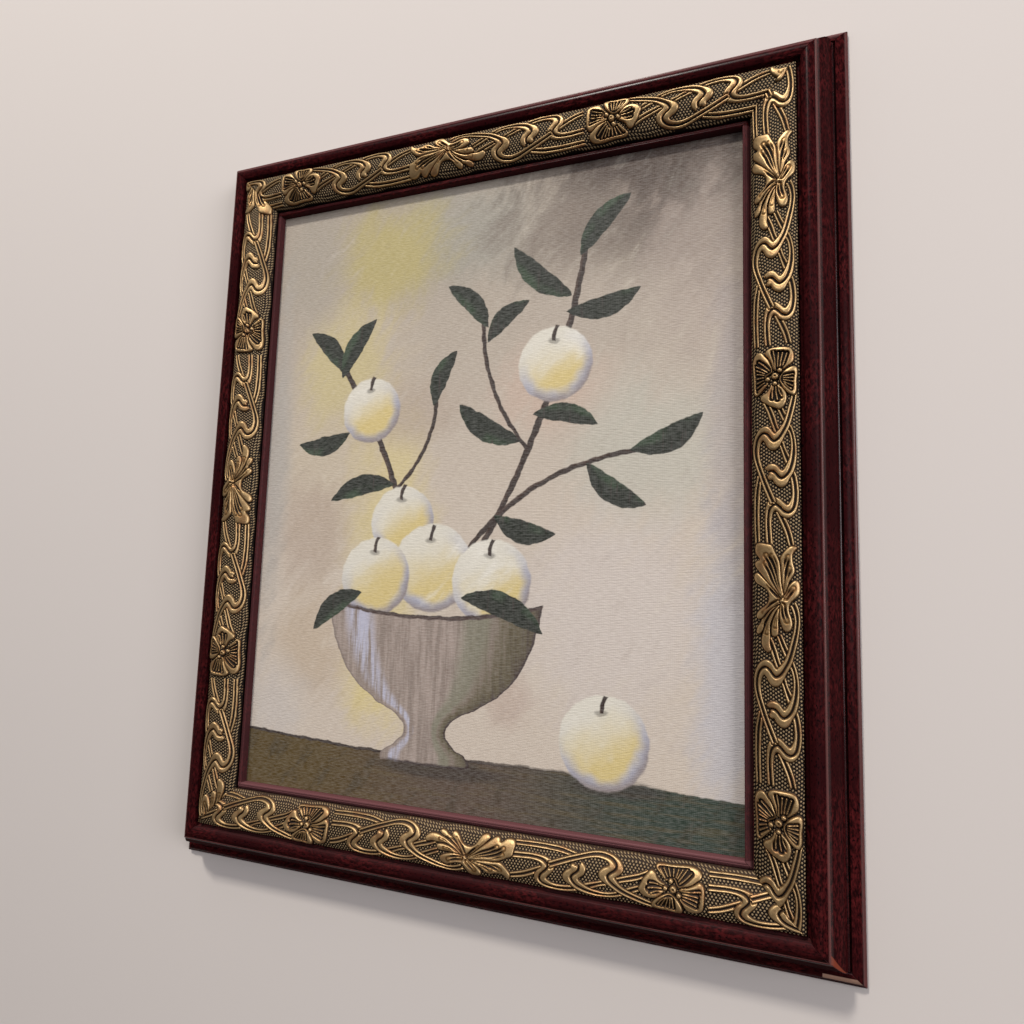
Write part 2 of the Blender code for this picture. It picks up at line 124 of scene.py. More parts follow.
# Ribbons, lowest first. Each is two ridges with a groove between, as (along, across, half width)
RIBBONS = [
    ([(63, 12, .68), (68, 11, .68), (73, 10.2, .68), (80, 9.5, .68), (90, 9.2, .68),
      (100, 9.3, .68), (112, 9.7, .68)],
     [(66, 9.2, .68), (70, 8.4, .68), (75, 7.5, .68), (80, 7.1, .68), (90, 6.9, .68),
      (100, 7.1, .68), (112, 7.6, .68)]),
    ([(91, 23.8, .7), (94.6, 25.5, .7), (100, 27.7, .7), (105, 29.1, .7), (113, 30.5, .7)],
     [(90, 20.4, .7), (93.4, 21.8, .7), (98, 23.7, .7), (104, 25.9, .7), (113, 28.2, .7)]),
    ([(18, 15.2, .7), (22, 17.2, .7), (28, 19.4, .7), (32, 20.4, .7), (37, 22, .7)],
     [(16, 11.8, .7), (19.7, 13.5, .7), (24, 15.4, .7), (28, 16.6, .7), (32, 17.9, .7),
      (38, 19.9, .7)]),
    ([(42, 23.6, .68), (44.7, 24.4, .68), (49.3, 25.7, .68), (54, 27.8, .68), (57, 29.2, .68)],
     [(45, 22, .68), (47, 22.7, .68), (51.2, 24.1, .68), (58.2, 26.1, .68), (60, 26.8, .68)]),
    ([(61, 29.6, .7), (64, 30.9, .7), (68, 32.1, .7), (74, 33, .7), (80, 33.1, .7),
      (85, 32.5, .75), (89, 31.2, .9), (91.6, 29.2, 1.1), (92.5, 26.8, 1.4), (91.2, 24, 1.5),
      (88.8, 21.9, 1.3), (87.5, 19.8, 1.5), (88.4, 18, 1.3), (91, 16.9, 1.), (95, 16.4, .8),
      (100, 16.5, .72), (112, 17.3, .72)],
     [(65, 28, .7), (69, 29.3, .7), (75, 30.1, .75), (80, 30.1, .85), (84, 29.2, 1.3),
      (86.6, 27.9, 1.9), (87, 26, 2.), (85, 23.9, 1.6), (82.6, 21.7, 1.5), (81.9, 19.4, 1.8),
      (82.8, 17, 1.7), (85.4, 15.3, 1.2), (89, 14.3, .9), (94, 13.9, .75), (100, 13.9, .7),
      (112, 14.6, .7)]),
    ([(18, 22.4, .68), (24.2, 24.9, .68), (27.6, 26.5, .68), (31, 28, .68)],
     [(18, 20, .68), (24.2, 22.2, .68), (30.5, 24.6, .68), (33, 25.6, .68)]),
    ([(31, 27.6, .7), (34, 29, .7), (38, 30.4, .7), (43, 31.5, .7), (48, 32, .7), (54, 32, .7),
      (60, 31.2, .8), (64.5, 29.6, .95), (68, 27.3, 1.3), (70.9, 25.2, 1.9), (71.9, 23.2, 2.2),
      (70.6, 21, 1.9), (68.2, 19.3, 1.6), (66.7, 18, 1.9), (67.1, 17, 2.)],
     [(35, 26, .7), (37, 27.5, .7), (40, 28.8, .7), (45, 29.7, .7), (51, 29.6, .7),
      (56, 28.7, .8), (60, 27.3, 1.1), (63.5, 25.7, 1.6), (64.9, 23.9, 1.85), (63.4, 21.9, 1.5),
      (61, 20.2, 1.5), (60.1, 18, 1.7), (60.3, 16, 1.5), (61.3, 14.3, .9)]),
    ([(-2, 30.9, .7), (2, 32.3, .7), (7, 33, .7), (11, 33, .7), (15, 32.5, .7), (19, 31.9, .7),
      (23, 31.1, .7), (27, 30.1, .7), (31, 29, .7), (35, 27.7, .75), (38, 26.3, .8),
      (41.5, 24.3, .95), (44.6, 22.3, 1.4), (47, 20.2, 2.), (47.6, 18.4, 2.25), (46, 16.4, 2.),
      (43.3, 14.9, 1.8), (41.5, 13.3, 2.), (41.9, 11.5, 1.6), (44.6, 9.9, 1.1), (50, 9.1, .85),
      (56, 9.9, .75), (62, 11.7, .7), (68, 13.7, .7), (74, 16, .7), (80, 18.4, .7),
      (83, 19.6, .7)],
     [(0, 28.4, .7), (4, 30, .7), (9, 30.8, .7), (15, 30.2, .7), (19, 29.3, .7), (23, 28.2, .7),
      (27, 27.2, .7), (31, 26, .75), (34, 24.7, .85), (37, 22.9, 1.1), (39.6, 20.9, 1.6),
      (40.6, 19.4, 1.7), (38.8, 17.7, 1.4), (36.4, 16, 1.5), (35.2, 14, 1.75), (35.6, 11.6, 1.4),
      (37.6, 9.4, 1.05), (42, 7.3, .85), (48, 6.4, .75), (54, 6.9, .7), (60, 8.5, .7),
      (66, 10.4, .7), (72, 12.3, .7), (78, 14.5, .7), (84, 16.9, .7)]),
]

# The flower's heart, and its petals as (outline, ribs, width of the smooth rim)
FLOWER_HEART = (1.3, 19.9)
PETALS = [
    ([(-.7, 17.2), (-2.2, 18.5), (-6, 17.7), (-10, 16.2), (-13.2, 13.8), (-15.6, 12),
      (-16.2, 9.6), (-14.6, 7.4), (-11.6, 6.2), (-7, 5.9), (-2, 6.3), (3, 6.6), (8, 6.6),
      (11.4, 6.9), (12.9, 8.2), (12.6, 9.8), (10, 12.2), (7.4, 14.7), (5.6, 15.8), (3, 14.8),
      (.8, 14.6)],
     [[(-2.6, 16.6), (-6.4, 13.4), (-9.6, 10)], [(-1.9, 15.2), (-4.6, 11.6), (-7, 8.2)],
      [(-1.2, 13.8), (-2.8, 11), (-4.2, 8.6)], [(-.2, 13.2), (-1, 11), (-1.6, 8.8)],
      [(6.6, 13.8), (8.2, 11.8), (9.8, 9.8)], [(4.9, 13.4), (6.2, 11.2), (7.6, 9)],
      [(3.2, 13), (3.9, 10.8), (4.6, 8.8)], [(1.4, 12.8), (1.4, 10.8), (1.4, 8.8)]], 2.),
    ([(-2.2, 24.2), (-4.8, 28), (-7.4, 31.2), (-11, 31.9), (-14.4, 31.2), (-16.8, 29.6),
      (-17.7, 26), (-18, 21), (-17.8, 17), (-16.4, 14.4), (-14, 14), (-11, 16), (-7, 17.9),
      (-3, 19), (-2.2, 21)],
     [[(-4.9, 24.6), (-9, 26), (-13, 27.3)], [(-4.6, 23.1), (-8.6, 23.6), (-13.6, 24.7)],
      [(-4.6, 21.6), (-9, 21.8), (-13.8, 22.2)], [(-3.6, 20.1), (-9, 20), (-15.2, 19)]], 3.),
    ([(6.6, 21.4), (8, 23.2), (10.6, 25.8), (14, 27), (17.4, 27), (20.6, 25.9), (22.9, 23.8),
      (23.2, 21.8), (21.8, 19), (20.4, 16.2), (18.2, 13.4), (16.8, 11.6), (15, 10.9),
      (13, 11.8), (11.4, 14.6), (8.8, 16.6), (6, 18)],
     [[(7.8, 22), (11.4, 22.4), (15.2, 24)], [(8.2, 20.4), (12.6, 20.6), (17, 21.4)],
      [(8, 18.9), (12, 18.2), (16, 18.2)]], 3.8),
    ([(2.2, 22.9), (-1.6, 25.4), (-3.8, 28.6), (-4.7, 31.6), (-3.4, 33.6), (.4, 33.9),
      (5, 33.3), (9, 33.4), (12.4, 33), (14.8, 31.4), (13.9, 28.6), (11, 25.9), (7.4, 23.8),
      (4.4, 22.7)],
     [[(1.9, 25), (1.4, 28), (1, 30.8)], [(3, 25), (3.2, 28), (3.4, 30.8)],
      [(4.2, 25), (5.1, 28), (5.9, 30.8)], [(5.4, 25.2), (7.1, 27.8), (8.6, 30.3)],
      [(6.6, 25.6), (8.9, 27.6), (10.6, 29.8)]], 3.2),
]

# The iris's heart and its leaves in the same way, lowest first
IRIS_HEART = (145.2, 24.2)
IRIS_LEAVES = [
    ([(147, 23.6), (153, 21.8), (158, 20.9), (163, 21), (166.6, 20.6), (168.1, 18.8),
      (167.4, 17), (164.6, 16.5), (160, 17), (155, 18.6), (149, 21.6)],
     [[(150, 21.8), (155.6, 19.8), (161.4, 18.8)]], 1.5),
    ([(147, 22.8), (153, 19), (158, 16.9), (162, 15.9), (168, 16.1), (172, 15.9), (176, 16.6),
      (177.8, 15.2), (177.4, 13.4), (175, 11.4), (172, 10.6), (168, 10.9), (163, 12.4),
      (158, 14.4), (152, 17.6)],
     [[(148.6, 21.4), (154, 17.7), (160, 15.1), (165.6, 13.8)]], 1.5),
    ([(147, 21.8), (152, 17), (157, 13.8), (160, 12.4), (163.4, 11.9), (166.2, 10.4),
      (166.9, 8.6), (165.4, 7.5), (162.4, 8.1), (159.4, 10.1), (156, 11.4), (151.4, 14.4),
      (147.4, 18.6)],
     [[(148.4, 19.6), (153, 15.4), (159, 11.9)]], 1.4),
    ([(145.4, 24.4), (140.6, 21), (136, 17), (131.4, 12.2), (128.2, 8.8), (128.8, 6.8),
      (131.4, 6.1), (134.6, 7.5), (136.6, 10.6), (138.6, 13.6), (141.4, 15.1), (144.6, 15.2),
      (147.4, 14.3), (149.4, 12.4), (151, 10.2), (153.4, 8.1), (155.8, 7.5), (157.4, 8.8),
      (157, 11), (154.4, 13), (151.4, 15.6), (148.6, 19.4)],
     [[(131.4, 12.5), (135, 16.4), (139.4, 20), (143.4, 23.2)],
      [(136, 15.6), (138.8, 17.8), (141.6, 20.4), (144.2, 23)],
      [(146, 21), (149.2, 16.2), (153, 12.4)]], 2.2),
    ([(145, 25), (141, 25.9), (137.5, 26.5), (134, 27.4), (131.4, 28.9), (128.6, 30.5),
      (125.6, 30.9), (122, 29.9), (118, 29.6), (115.6, 30.3), (112.4, 32.5), (111.2, 30.4),
      (111.6, 27.8), (114.6, 24.6), (118.6, 22.2), (124, 22.4), (134, 22.8), (145, 23.6)],
     [[(118.3, 27), (124.5, 25), (132, 23.9), (142, 24.1)],
      [(125.4, 27.8), (130, 26.2), (136, 25.1), (142.6, 24.7)]], 2.8),
    ([(145.4, 24.2), (134, 22.9), (124, 22.3), (119.4, 21.3), (114.4, 19), (110.6, 17.2),
      (109.6, 13.4), (109, 9.8), (110, 7.5), (112.6, 6.8), (116, 7.3), (119.6, 9.7),
      (120.6, 7.8), (122, 6.8), (124.2, 7), (127, 9), (130, 11.4), (134, 14.6), (140, 19.6)],
     [[(117.4, 17.4), (124.5, 19.9), (131, 21), (142, 22.9)],
      [(117, 13.6), (122, 16.6), (129, 19), (136, 20.8), (142.6, 22.9)],
      [(122, 13.4), (127, 16.2), (133.6, 18.6), (141, 21.9)]], 2.8),
    ([(143.6, 23.4), (140.6, 25.3), (137, 26.6), (134.4, 28.4), (132.8, 30.4), (132.7, 32.1),
      (134.4, 33.6), (138, 34.1), (141.6, 33.2), (143.8, 31.2), (146, 28.8), (148.6, 27.4),
      (152, 27.3), (156, 28.6), (160, 29.2), (163.6, 28), (164.8, 25.6), (163.4, 23.6),
      (159.6, 22.1), (155, 21.3), (150, 21.7), (147.4, 22.1), (145.4, 21.6)],
     [[(137.6, 29.7), (140.4, 27.6), (143.8, 25.2)], [(148, 23.6), (153.4, 24.2), (158, 25.7)]],
     2.3),
]

# Round bosses at the heart of the flower, as (along, across, radius, height)
BOSSES = [(-2.3, 22.9, 1.7, 2.6), (6.2, 19.9, 1.65, 2.6), (2.9, 15.5, 1.7, 2.6),
          (1.3, 19.9, 2.35, 3.1)]


def smooth_step(value, low=0.0, high=1.0):
    """0 below low, 1 above high, and 3t^2 - 2t^3 between."""
    t = np.clip((value - low) / (high - low), 0, 1)
    return t * t * (3 - 2 * t)


def smooth_line(points, closed=False, steps=6):
    """A Catmull-Rom curve through points, each span cut in equal steps of its parameter."""
    p = np.array(points, float)
    if closed:
        p = np.vstack([p[-1], p, p[:2]])
    else:
        p = np.vstack([2 * p[0] - p[1], p, 2 * p[-1] - p[-2]])
    t = (np.arange(steps) / steps)[None, :, None]
    a, b, c, d = (p[k:len(p) - 3 + k][:, None] for k in range(4))
    spans = b + 0.5 * t * (c - a + t * (2 * a - 5 * b + 4 * c - d + t * (3 * (b - c) + d - a)))
    line = spans.reshape(-1, p.shape[1])
    return line if closed else np.vstack([line, p[-2]])


class Tile:
    """The ornament over one repeat, on a grid: heights, gilt, and how far off the next form is."""

    def __init__(self):
        self.along = np.arange(TILE_START, TILE_START + REPEAT - TILE_STEP / 2, TILE_STEP)
        self.across = np.arange(LIP_WIDTH, LIP_WIDTH + BAND_WIDTH + TILE_STEP / 2, TILE_STEP)
        self.height = np.zeros((len(self.along), len(self.across)))
        self.gilt = np.zeros(self.height.shape)
        self.clear = np.full(self.height.shape, 9.0)

    def window(self, line, margin=4.0):
        """The part of the grid within margin of a line, as slices and as coordinates."""
        low, high = line[:, :2].min(0) - margin, line[:, :2].max(0) + margin
        i = slice(*np.searchsorted(self.along, (low[0], high[0])))
        j = slice(*np.searchsorted(self.across, (low[1], high[1])))
        return (i, j), self.along[i][:, None], self.across[j][None, :]

    def lay(self, window, height, gilt, outside):
        """Put a form on top where outside is negative, with a dark line round it."""
        bare = smooth_step(outside, 0.05, CONTOUR)
        for field, form in ((self.height, height), (self.gilt, gilt)):
            field[window] = np.where(outside < 0, form, field[window] * bare)
        self.clear[window] = np.minimum(self.clear[window], outside)


def distance_to(line, x, y):
    """Distance from each grid point to a line, and the line's third value at the nearest point."""
    best = np.full(np.broadcast(x, y).shape, 99.0)
    value = np.zeros(best.shape)
    for start, end in zip(line[:-1], line[1:]):
        way = end[:2] - start[:2]
        t = ((x - start[0]) * way[0] + (y - start[1]) * way[1]) / max(way @ way, 1e-9)
        t = np.clip(t, 0, 1)
        away = np.hypot(x - start[0] - way[0] * t, y - start[1] - way[1] * t)
        nearer = away < best
        best = np.where(nearer, away, best)
        if line.shape[1] > 2:
            value = np.where(nearer, start[2] + (end[2] - start[2]) * t, value)
    return best, value


def inside_of(line, x, y):
    """Where a grid point lies inside a closed line, by counting the edges a ray crosses."""
    inside = np.zeros(np.broadcast(x, y).shape, bool)
    for start, end in zip(line, np.roll(line, -1, 0)):
        if start[1] == end[1]:
            continue
        crosses = (start[1] > y) != (end[1] > y)
        way = end - start
        inside ^= crosses & (x < start[0] + way[0] * (y - start[1]) / way[1])
    return inside


def round_ridge(away, half, rise):
    """A ridge's height: rise * (1 - (away / half)^n)^0.7, and n grows from 2 as it widens."""
    flat = 2 + 2.5 * np.clip(half - 0.6, 0, 1)
    return rise * np.clip(1 - (away / np.maximum(half, 0.05)) ** flat, 0, 1) ** 0.7


def lay_ribbon(tile, ridges, shift):
    """Two ridges with a groove between them that keeps one width; they swell where they part."""
    lines = [smooth_line(ridge) + np.array([shift, 0, 0]) for ridge in ridges]
    outline = np.vstack([lines[0], lines[1][::-1]])
    window, x, y = tile.window(outline)
    enclosed = inside_of(outline, x, y)
    height = np.where(enclosed, STRAP_FLOOR, 0.0)
    outside = np.where(enclosed, -1.0, 9.0)
    (away_a, half_a), (away_b, half_b) = (distance_to(line, x, y) for line in lines)
    from_middle = (away_b - half_b - away_a + half_a) / 2
    for away, half, off in ((away_a, half_a, from_middle), (away_b, half_b, -from_middle)):
        rise = RIDGE_RISE * (0.75 + 0.3 * half)
        height = np.maximum(height, round_ridge(away, half, rise))
        swell = np.clip((off - STRAP_GROOVE) / 0.9, 0, 1)
        swell = rise * np.sqrt(1 - (1 - swell) ** 2)
        height = np.where(enclosed, np.maximum(height, swell), height)
        outside = np.minimum(outside, away - half)
    gilt = smooth_step(height, 0.35, 1.0)
    tile.lay(window, height, gilt, outside)


def lay_leaf(tile, outline, ribs, rim, rise, heart, taper):
    """A leaf or petal: a rolled edge, a smooth rim that narrows to the heart, ribs in between.
    The hollow between the ribs runs out over the last taper millimetres of each rib."""
    line = smooth_line(outline, closed=True)
    window, x, y = tile.window(line)
    away, _ = distance_to(np.vstack([line, line[:1]]), x, y)
    within = np.where(inside_of(line, x, y), away, -away)
    roll = np.sqrt(np.clip(1 - (1 - np.clip(within / EDGE_ROLL, 0, 1)) ** 2, 0, 1))
    ribbed = np.zeros(within.shape)
    reach = np.zeros(within.shape)
    for rib in ribs:
        far = max(rib[0], rib[-1], key=lambda p: math.hypot(p[0] - heart[0], p[1] - heart[1]))
        near, _ = distance_to(smooth_line(rib), x, y)
        ribbed = np.maximum(ribbed, np.exp(-(near / RIB_HALF) ** 2))
        inward = smooth_step(np.hypot(x - far[0], y - far[1]), 0.0, taper)
        reach = np.maximum(reach, smooth_step(-near, -2.1, -1.2) * inward)
    from_heart = np.hypot(x - heart[0], y - heart[1])
    border = 0.9 + (rim - 0.9) * smooth_step(from_heart, 3.0, 15.0)
    sunk = smooth_step(within, border * 0.5, border) * reach
    crown = 0.3 * smooth_step(within, 0, 2.5) * (1 - sunk)
    bare = sunk * (1 - smooth_step(ribbed, 0.25, 0.8))
    bare = bare * smooth_step(from_heart, 0.3 * taper, 1.8 * taper)
    gilt = smooth_step(within, -0.1, 0.45) * (1 - 0.97 * np.sqrt(bare))
    tile.lay(window, rise * roll + crown - sunk * (1.45 - 1.6 * ribbed), gilt, -within)


def lay_boss(tile, along, across, radius, rise):
    """A round boss, the large one with a dimple in its top."""
    centre = np.array([[along, across]])
    window, x, y = tile.window(centre)
    away = np.hypot(x - along, y - across)
    dimple = 0.9 * np.exp(-(away / 0.7) ** 2) if radius > 2 else 0.0
    gilt = smooth_step(radius - away, 0.0, 0.5) * (1 - dimple)
    tile.lay(window, round_ridge(away, radius, rise) - dimple, gilt, away - radius)


def pebble_lattice(along, across):
    """Places counted in pebbles along and in rows across, the rows wavy and long at the lip."""
    whole = round(REPEAT / PEBBLE_PITCH)
    turn = (along - TILE_START) * 2 * math.pi / REPEAT
    below = np.clip(HATCH_TOP - across, 0, None)
    row = (across - HATCH_TOP + below) / PEBBLE_ROW - below / HATCH_ROW
    row = row + 0.3 * np.sin(7 * turn) + 0.08 * np.sin(17 * turn + across * 0.5)
    column = (along - TILE_START) * whole / REPEAT + 0.08 * np.sin(across * 1.1 + 5 * turn)
    return column + below * HATCH_LEAN, row


def pebbles(column, row):
    """Domes on the lattice, each second row moved by half a pebble; 1 at a top, 0 between."""
    x = (column + 0.5 * (np.floor(row) % 2)) % 1 - 0.5
    y = row % 1 - 0.5
    half_x, half_y = PEBBLE_HALF
    return np.clip(1 - (x / half_x) ** 2 - (y / half_y) ** 2, 0, 1) ** 0.6


def soften(field, passes):
    """Blur by repeated averaging with neighbours, round the repeat and held at the edges."""
    for _ in range(passes):
        field = (np.roll(field, 1, 0) + np.roll(field, -1, 0) + 2 * field) / 4
        padded = np.pad(field, ((0, 0), (1, 1)), mode="edge")
        field = (padded[:, :-2] + padded[:, 2:] + 2 * field) / 4
    return field


def carve_tile():
    """Lay the whole repeat, ribbons first and flowers last, with its gilt and its bare ground."""
    tile = Tile()
    for ridges in RIBBONS:
        for shift in (0.0, SECOND_INTERLACE):
            lay_ribbon(tile, ridges, shift)
    for outline, ribs, rim in IRIS_LEAVES:
        lay_leaf(tile, outline, ribs, rim, LEAF_RISE, IRIS_HEART, LEAF_TAPER)
    for outline, ribs, rim in PETALS:
        lay_leaf(tile, outline, ribs, rim, PETAL_RISE, FLOWER_HEART, PETAL_TAPER)
    for along, across, radius, rise in BOSSES:
        lay_boss(tile, along, across, radius, rise)
    edge = np.minimum(tile.across - LIP_WIDTH, LIP_WIDTH + BAND_WIDTH - tile.across)
    tile.height *= smooth_step(edge, 0.0, 0.6)[None, :]
    tile.ground = smooth_step(tile.clear, 0.15, 0.5)
    proud = tile.height - soften(tile.height, 60)
    tile.gilt *= np.clip(0.86 + 0.3 * proud, 0, 1)
    tile.height = soften(tile.height, 1)
    return tile


def sample(field, along, across):
    """The tile's field at any place, by bilinear mixing, going round at the repeat's ends."""
    i = (along - TILE_START) * field.shape[0] / REPEAT
    j = np.clip((across - LIP_WIDTH) / TILE_STEP, 0, field.shape[1] - 1.001)
    i0, j0 = np.floor(i).astype(int), np.floor(j).astype(int)
    fi, fj = i - i0, j - j0
    a, b = i0 % field.shape[0], (i0 + 1) % field.shape[0]
    return ((field[a, j0] * (1 - fi) + field[b, j0] * fi) * (1 - fj)
            + (field[a, j0 + 1] * (1 - fi) + field[b, j0 + 1] * fi) * fj)


def cushion(v):
    """Height of the bare band at v: a slanted chord plus half an ellipse."""
    share = np.clip(v / BAND_WIDTH, 0, 1)
    chord = BAND_INNER + (BAND_OUTER - BAND_INNER) * share
    return chord + CUSHION_RISE * np.sqrt(np.clip(1 - (2 * share - 1) ** 2, 0, 1))


def opening_of(side):
    """The opening's size along a rail and across it."""
    sizes = (OPENING_WIDTH, OPENING_HEIGHT)
    return sizes if side in ("top", "bottom") else sizes[::-1]


def half_length(side, u):
    """Half a rail's length at u, up to its mitre."""
    return opening_of(side)[0] / 2 + u - MITRE_PLAY


def turn_to_side(side, s, u, d):
    """Points in metres: the top rail's x = s, z = half the opening + u, turned about Y."""
    angle = QUARTER_TURNS[side] * math.pi / 2
    x, z = s, opening_of(side)[1] / 2 + u
    turned_x = x * math.cos(angle) + z * math.sin(angle)
    turned_z = z * math.cos(angle) - x * math.sin(angle) + CENTRE_Z
    return np.stack([turned_x, -d, turned_z], -1).reshape(-1, 3) / MM


def make_piece(name, points, faces, material, smooth=None):
    """A mesh object riding on the frame, with its place in its mesh."""
    mesh = bpy.data.meshes.new(name)
    mesh.from_pydata(points, [], faces)
    mesh.materials.append(material)
    mesh.shade_smooth()
    if smooth is not None:
        mesh.set_sharp_from_angle(angle=math.radians(smooth))
    mesh.update()
    piece = bpy.data.objects.new(name, mesh)
    bpy.context.scene.collection.objects.link(piece)
    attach(piece, "root")
    return piece


def set_attribute(piece, name, kind, values):
    """Store values on a piece's vertices, for its material to read."""
    attribute = piece.data.attributes.new(name, kind, "POINT")
    key = "vector" if kind == "FLOAT_VECTOR" else "value"
    attribute.data.foreach_set(key, np.asarray(values, np.float32).ravel())


def slab_faces(cells, rows, beds):
    """Faces of a relief grid, then of a coarse bed behind it and the skirts between the two."""
    index = np.arange((cells + 1) * (rows + 1)).reshape(cells + 1, rows + 1)
    grid = np.stack([index[:-1, :-1], index[1:, :-1], index[1:, 1:], index[:-1, 1:]], -1)
    rim = np.concatenate([index[:-1, 0], index[-1, :-1], index[:0:-1, -1], index[0, :0:-1]])
    segment = np.concatenate([np.repeat(np.arange(beds), BED_RATIO), np.full(rows, beds),
                              np.repeat(np.arange(beds) + beds + 1, BED_RATIO),
                              np.full(rows, 2 * beds + 1)])
    base = index.size
    after = np.roll(rim, -1)
    fans = np.stack([after, rim, base + segment], -1)
    last = np.append(segment[1:] != segment[:-1], True)
    corner = segment[last]
    closers = np.stack([base + corner, base + (corner + 1) % (2 * beds + 2), after[last]], -1)
    k = np.arange(beds)
    under = base + np.stack([k, 2 * beds + 1 - k, 2 * beds - k, k + 1], -1)
    return grid.reshape(-1, 4).tolist() + fans.tolist() + closers.tolist() + under.tolist()


def carved_band(side, tile, material):
    """The gilt band as a closed slab, its front cut from the tile."""
    cells = BAND_CELLS[side]
    beds = cells // BED_RATIO
    t = np.linspace(0, 1, BAND_ROWS + 1)
    v = BAND_WIDTH * (0.8 * t + 0.1 * (1 - np.cos(math.pi * t)))
    s = np.linspace(-1, 1, cells + 1)[:, None] * half_length(side, LIP_WIDTH + v)[None, :]
    u = (LIP_WIDTH + v)[None, :] + 0 * s
    along = s - FLOWER_PLACE[side]
    across = u - DRAWN_OUT[side]

    from_edge = np.minimum(v, BAND_WIDTH - v)
    drawn_up = FIRST_ROWS_PULL * (1 - smooth_step(v, 0, 3))
    column, row = pebble_lattice(along, across - drawn_up[None, :])
    ground = sample(tile.ground, along, across) * smooth_step(from_edge, 0.0, 0.15)[None, :]
    forms = sample(tile.height, along, across) * smooth_step(from_edge, 0.1, 0.5)[None, :]
    height = cushion(v)[None, :] + forms + PEBBLE_RISE * ground * pebbles(column, row)
    front = turn_to_side(side, s, u, height)

    bed_s = np.linspace(-1, 1, beds + 1)
    bed_v = np.concatenate([np.zeros(beds + 1), np.full(beds + 1, BAND_WIDTH)])
    bed_s = np.concatenate([bed_s, bed_s[::-1]]) * half_length(side, LIP_WIDTH + bed_v)
    bed_d = BAND_INNER + (BAND_OUTER - BAND_INNER) * bed_v / BAND_WIDTH - BAND_BED
    bed = turn_to_side(side, bed_s, LIP_WIDTH + bed_v, bed_d)

    piece = make_piece("band_" + side, np.vstack([front, bed]),
                       slab_faces(cells, BAND_ROWS, beds), material)
    gilt = sample(tile.gilt, along, across).ravel()
    set_attribute(piece, "gilt", "FLOAT", np.concatenate([gilt, np.zeros(len(bed))]))
    pebbled = np.stack([column, row, ground], -1).reshape(-1, 3)
    set_attribute(piece, "pebbled", "FLOAT_VECTOR", np.vstack([pebbled, np.zeros((len(bed), 3))]))
    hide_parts("rail_" + side)


def arc(start, end, bulge, steps):
    """A round stretch from start to end: a chord plus 4 * bulge * t(1 - t) to its left."""
    start, end = np.array(start, float), np.array(end, float)
    t = np.linspace(0, 1, steps + 1)[:, None]
    way = end - start
    left = np.array([-way[1], way[0]]) / np.hypot(*way)
    return start + way * t + left * (4 * bulge * t * (1 - t))


def moulding_section():
    """The lacquered wood's outline as (u, d), from the lip over the rim to the rebate."""
    cove = LIP_WIDTH + BAND_WIDTH
    rim = cove + COVE_WIDTH
    ovolo = rim + RIM_WIDTH
    quirk = ovolo + OVOLO_WIDTH
    foot = quirk + QUIRK_WIDTH
    edge = foot + FOOT_WIDTH
    crevice = LIP_WIDTH - 0.8
    return np.vstack([
        (0.0, LEDGE),
        arc((0.0, LIP_FRONT - 0.8), (0.9, LIP_FRONT), 0.2, 4),
        arc((1.0, LIP_FRONT), (1.9, LIP_FRONT - 0.25), 0.05, 2),
        (2.1, LIP_FRONT - 0.55),
        arc((2.3, LIP_FRONT - 0.5), (3.1, LIP_FRONT - 0.8), 0.16, 4),
        arc((3.2, LIP_FRONT - 0.9), (crevice, BAND_INNER - 0.9), 0.1, 3),
        (crevice + 0.2, BAND_INNER - 1.5),
        (LIP_WIDTH - 0.1, BAND_INNER - BAND_BED - 0.3),
        (cove + 0.1, BAND_OUTER - BAND_BED - 0.5),
        arc((cove + 0.4, COVE_FLOOR), (rim - 0.5, COVE_FLOOR), -0.5, 4),
        (rim - 0.1, COVE_FLOOR + 0.8),
        arc((rim, RIM_INNER - 0.6), (rim + 0.9, RIM_INNER + 0.5), 0.2, 4),
        arc((rim + 1.1, RIM_INNER + 0.6), (ovolo - 0.5, RIM_SHOULDER + 0.3), 1.45, 12),
        arc((ovolo - 0.3, RIM_SHOULDER + 0.1), (ovolo + 1.0, RIM_SHOULDER - 0.7), 0.4, 6),
        (ovolo + 1.1, OVOLO_START + 0.4),
        arc((ovolo + 1.3, OVOLO_START), (quirk - 0.9, OVOLO_END + 2.3), 2.2, 14),
        arc((quirk - 0.8, OVOLO_END + 1.9), (quirk + 0.3, OVOLO_END + 0.6), 0.4, 5),
        (quirk + 0.5, QUIRK_FLOOR + 1.0),
        (foot - 1.3, QUIRK_FLOOR + 1.0),
        arc((foot - 1.1, FOOT_INNER + 1.3), (edge - 1.5, FOOT_OUTER + 0.7), 0.9, 8),
        arc((edge - 1.4, FOOT_OUTER + 0.5), (edge, FOOT_OUTER - 1.6), 0.5, 6),
        (edge, 0.0),
        (REBATE_WIDTH, 0.0),
        (REBATE_WIDTH, LEDGE),
    ])


def lacquered_moulding(side, material):
    """The section carried along a rail, with a mitre at each end."""
    section = moulding_section()
    u, d = section[:, 0], section[:, 1]
    count = len(section)
    half = half_length(side, u)
    s = np.stack([-half, half])
    u, d = np.stack([u, u]), np.stack([d, d])
    i = np.arange(count)
    following = (i + 1) % count
    walls = np.stack([i, i + count, following + count, following], -1)
    faces = walls.tolist() + [i.tolist(), (i[::-1] + count).tolist()]
    piece = make_piece("moulding_" + side, turn_to_side(side, s, u, d), faces, material,
                       smooth=35)
    set_attribute(piece, "place", "FLOAT_VECTOR", np.stack([s, u, d], -1).reshape(-1, 3) / MM)
    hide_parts("rail_" + side)


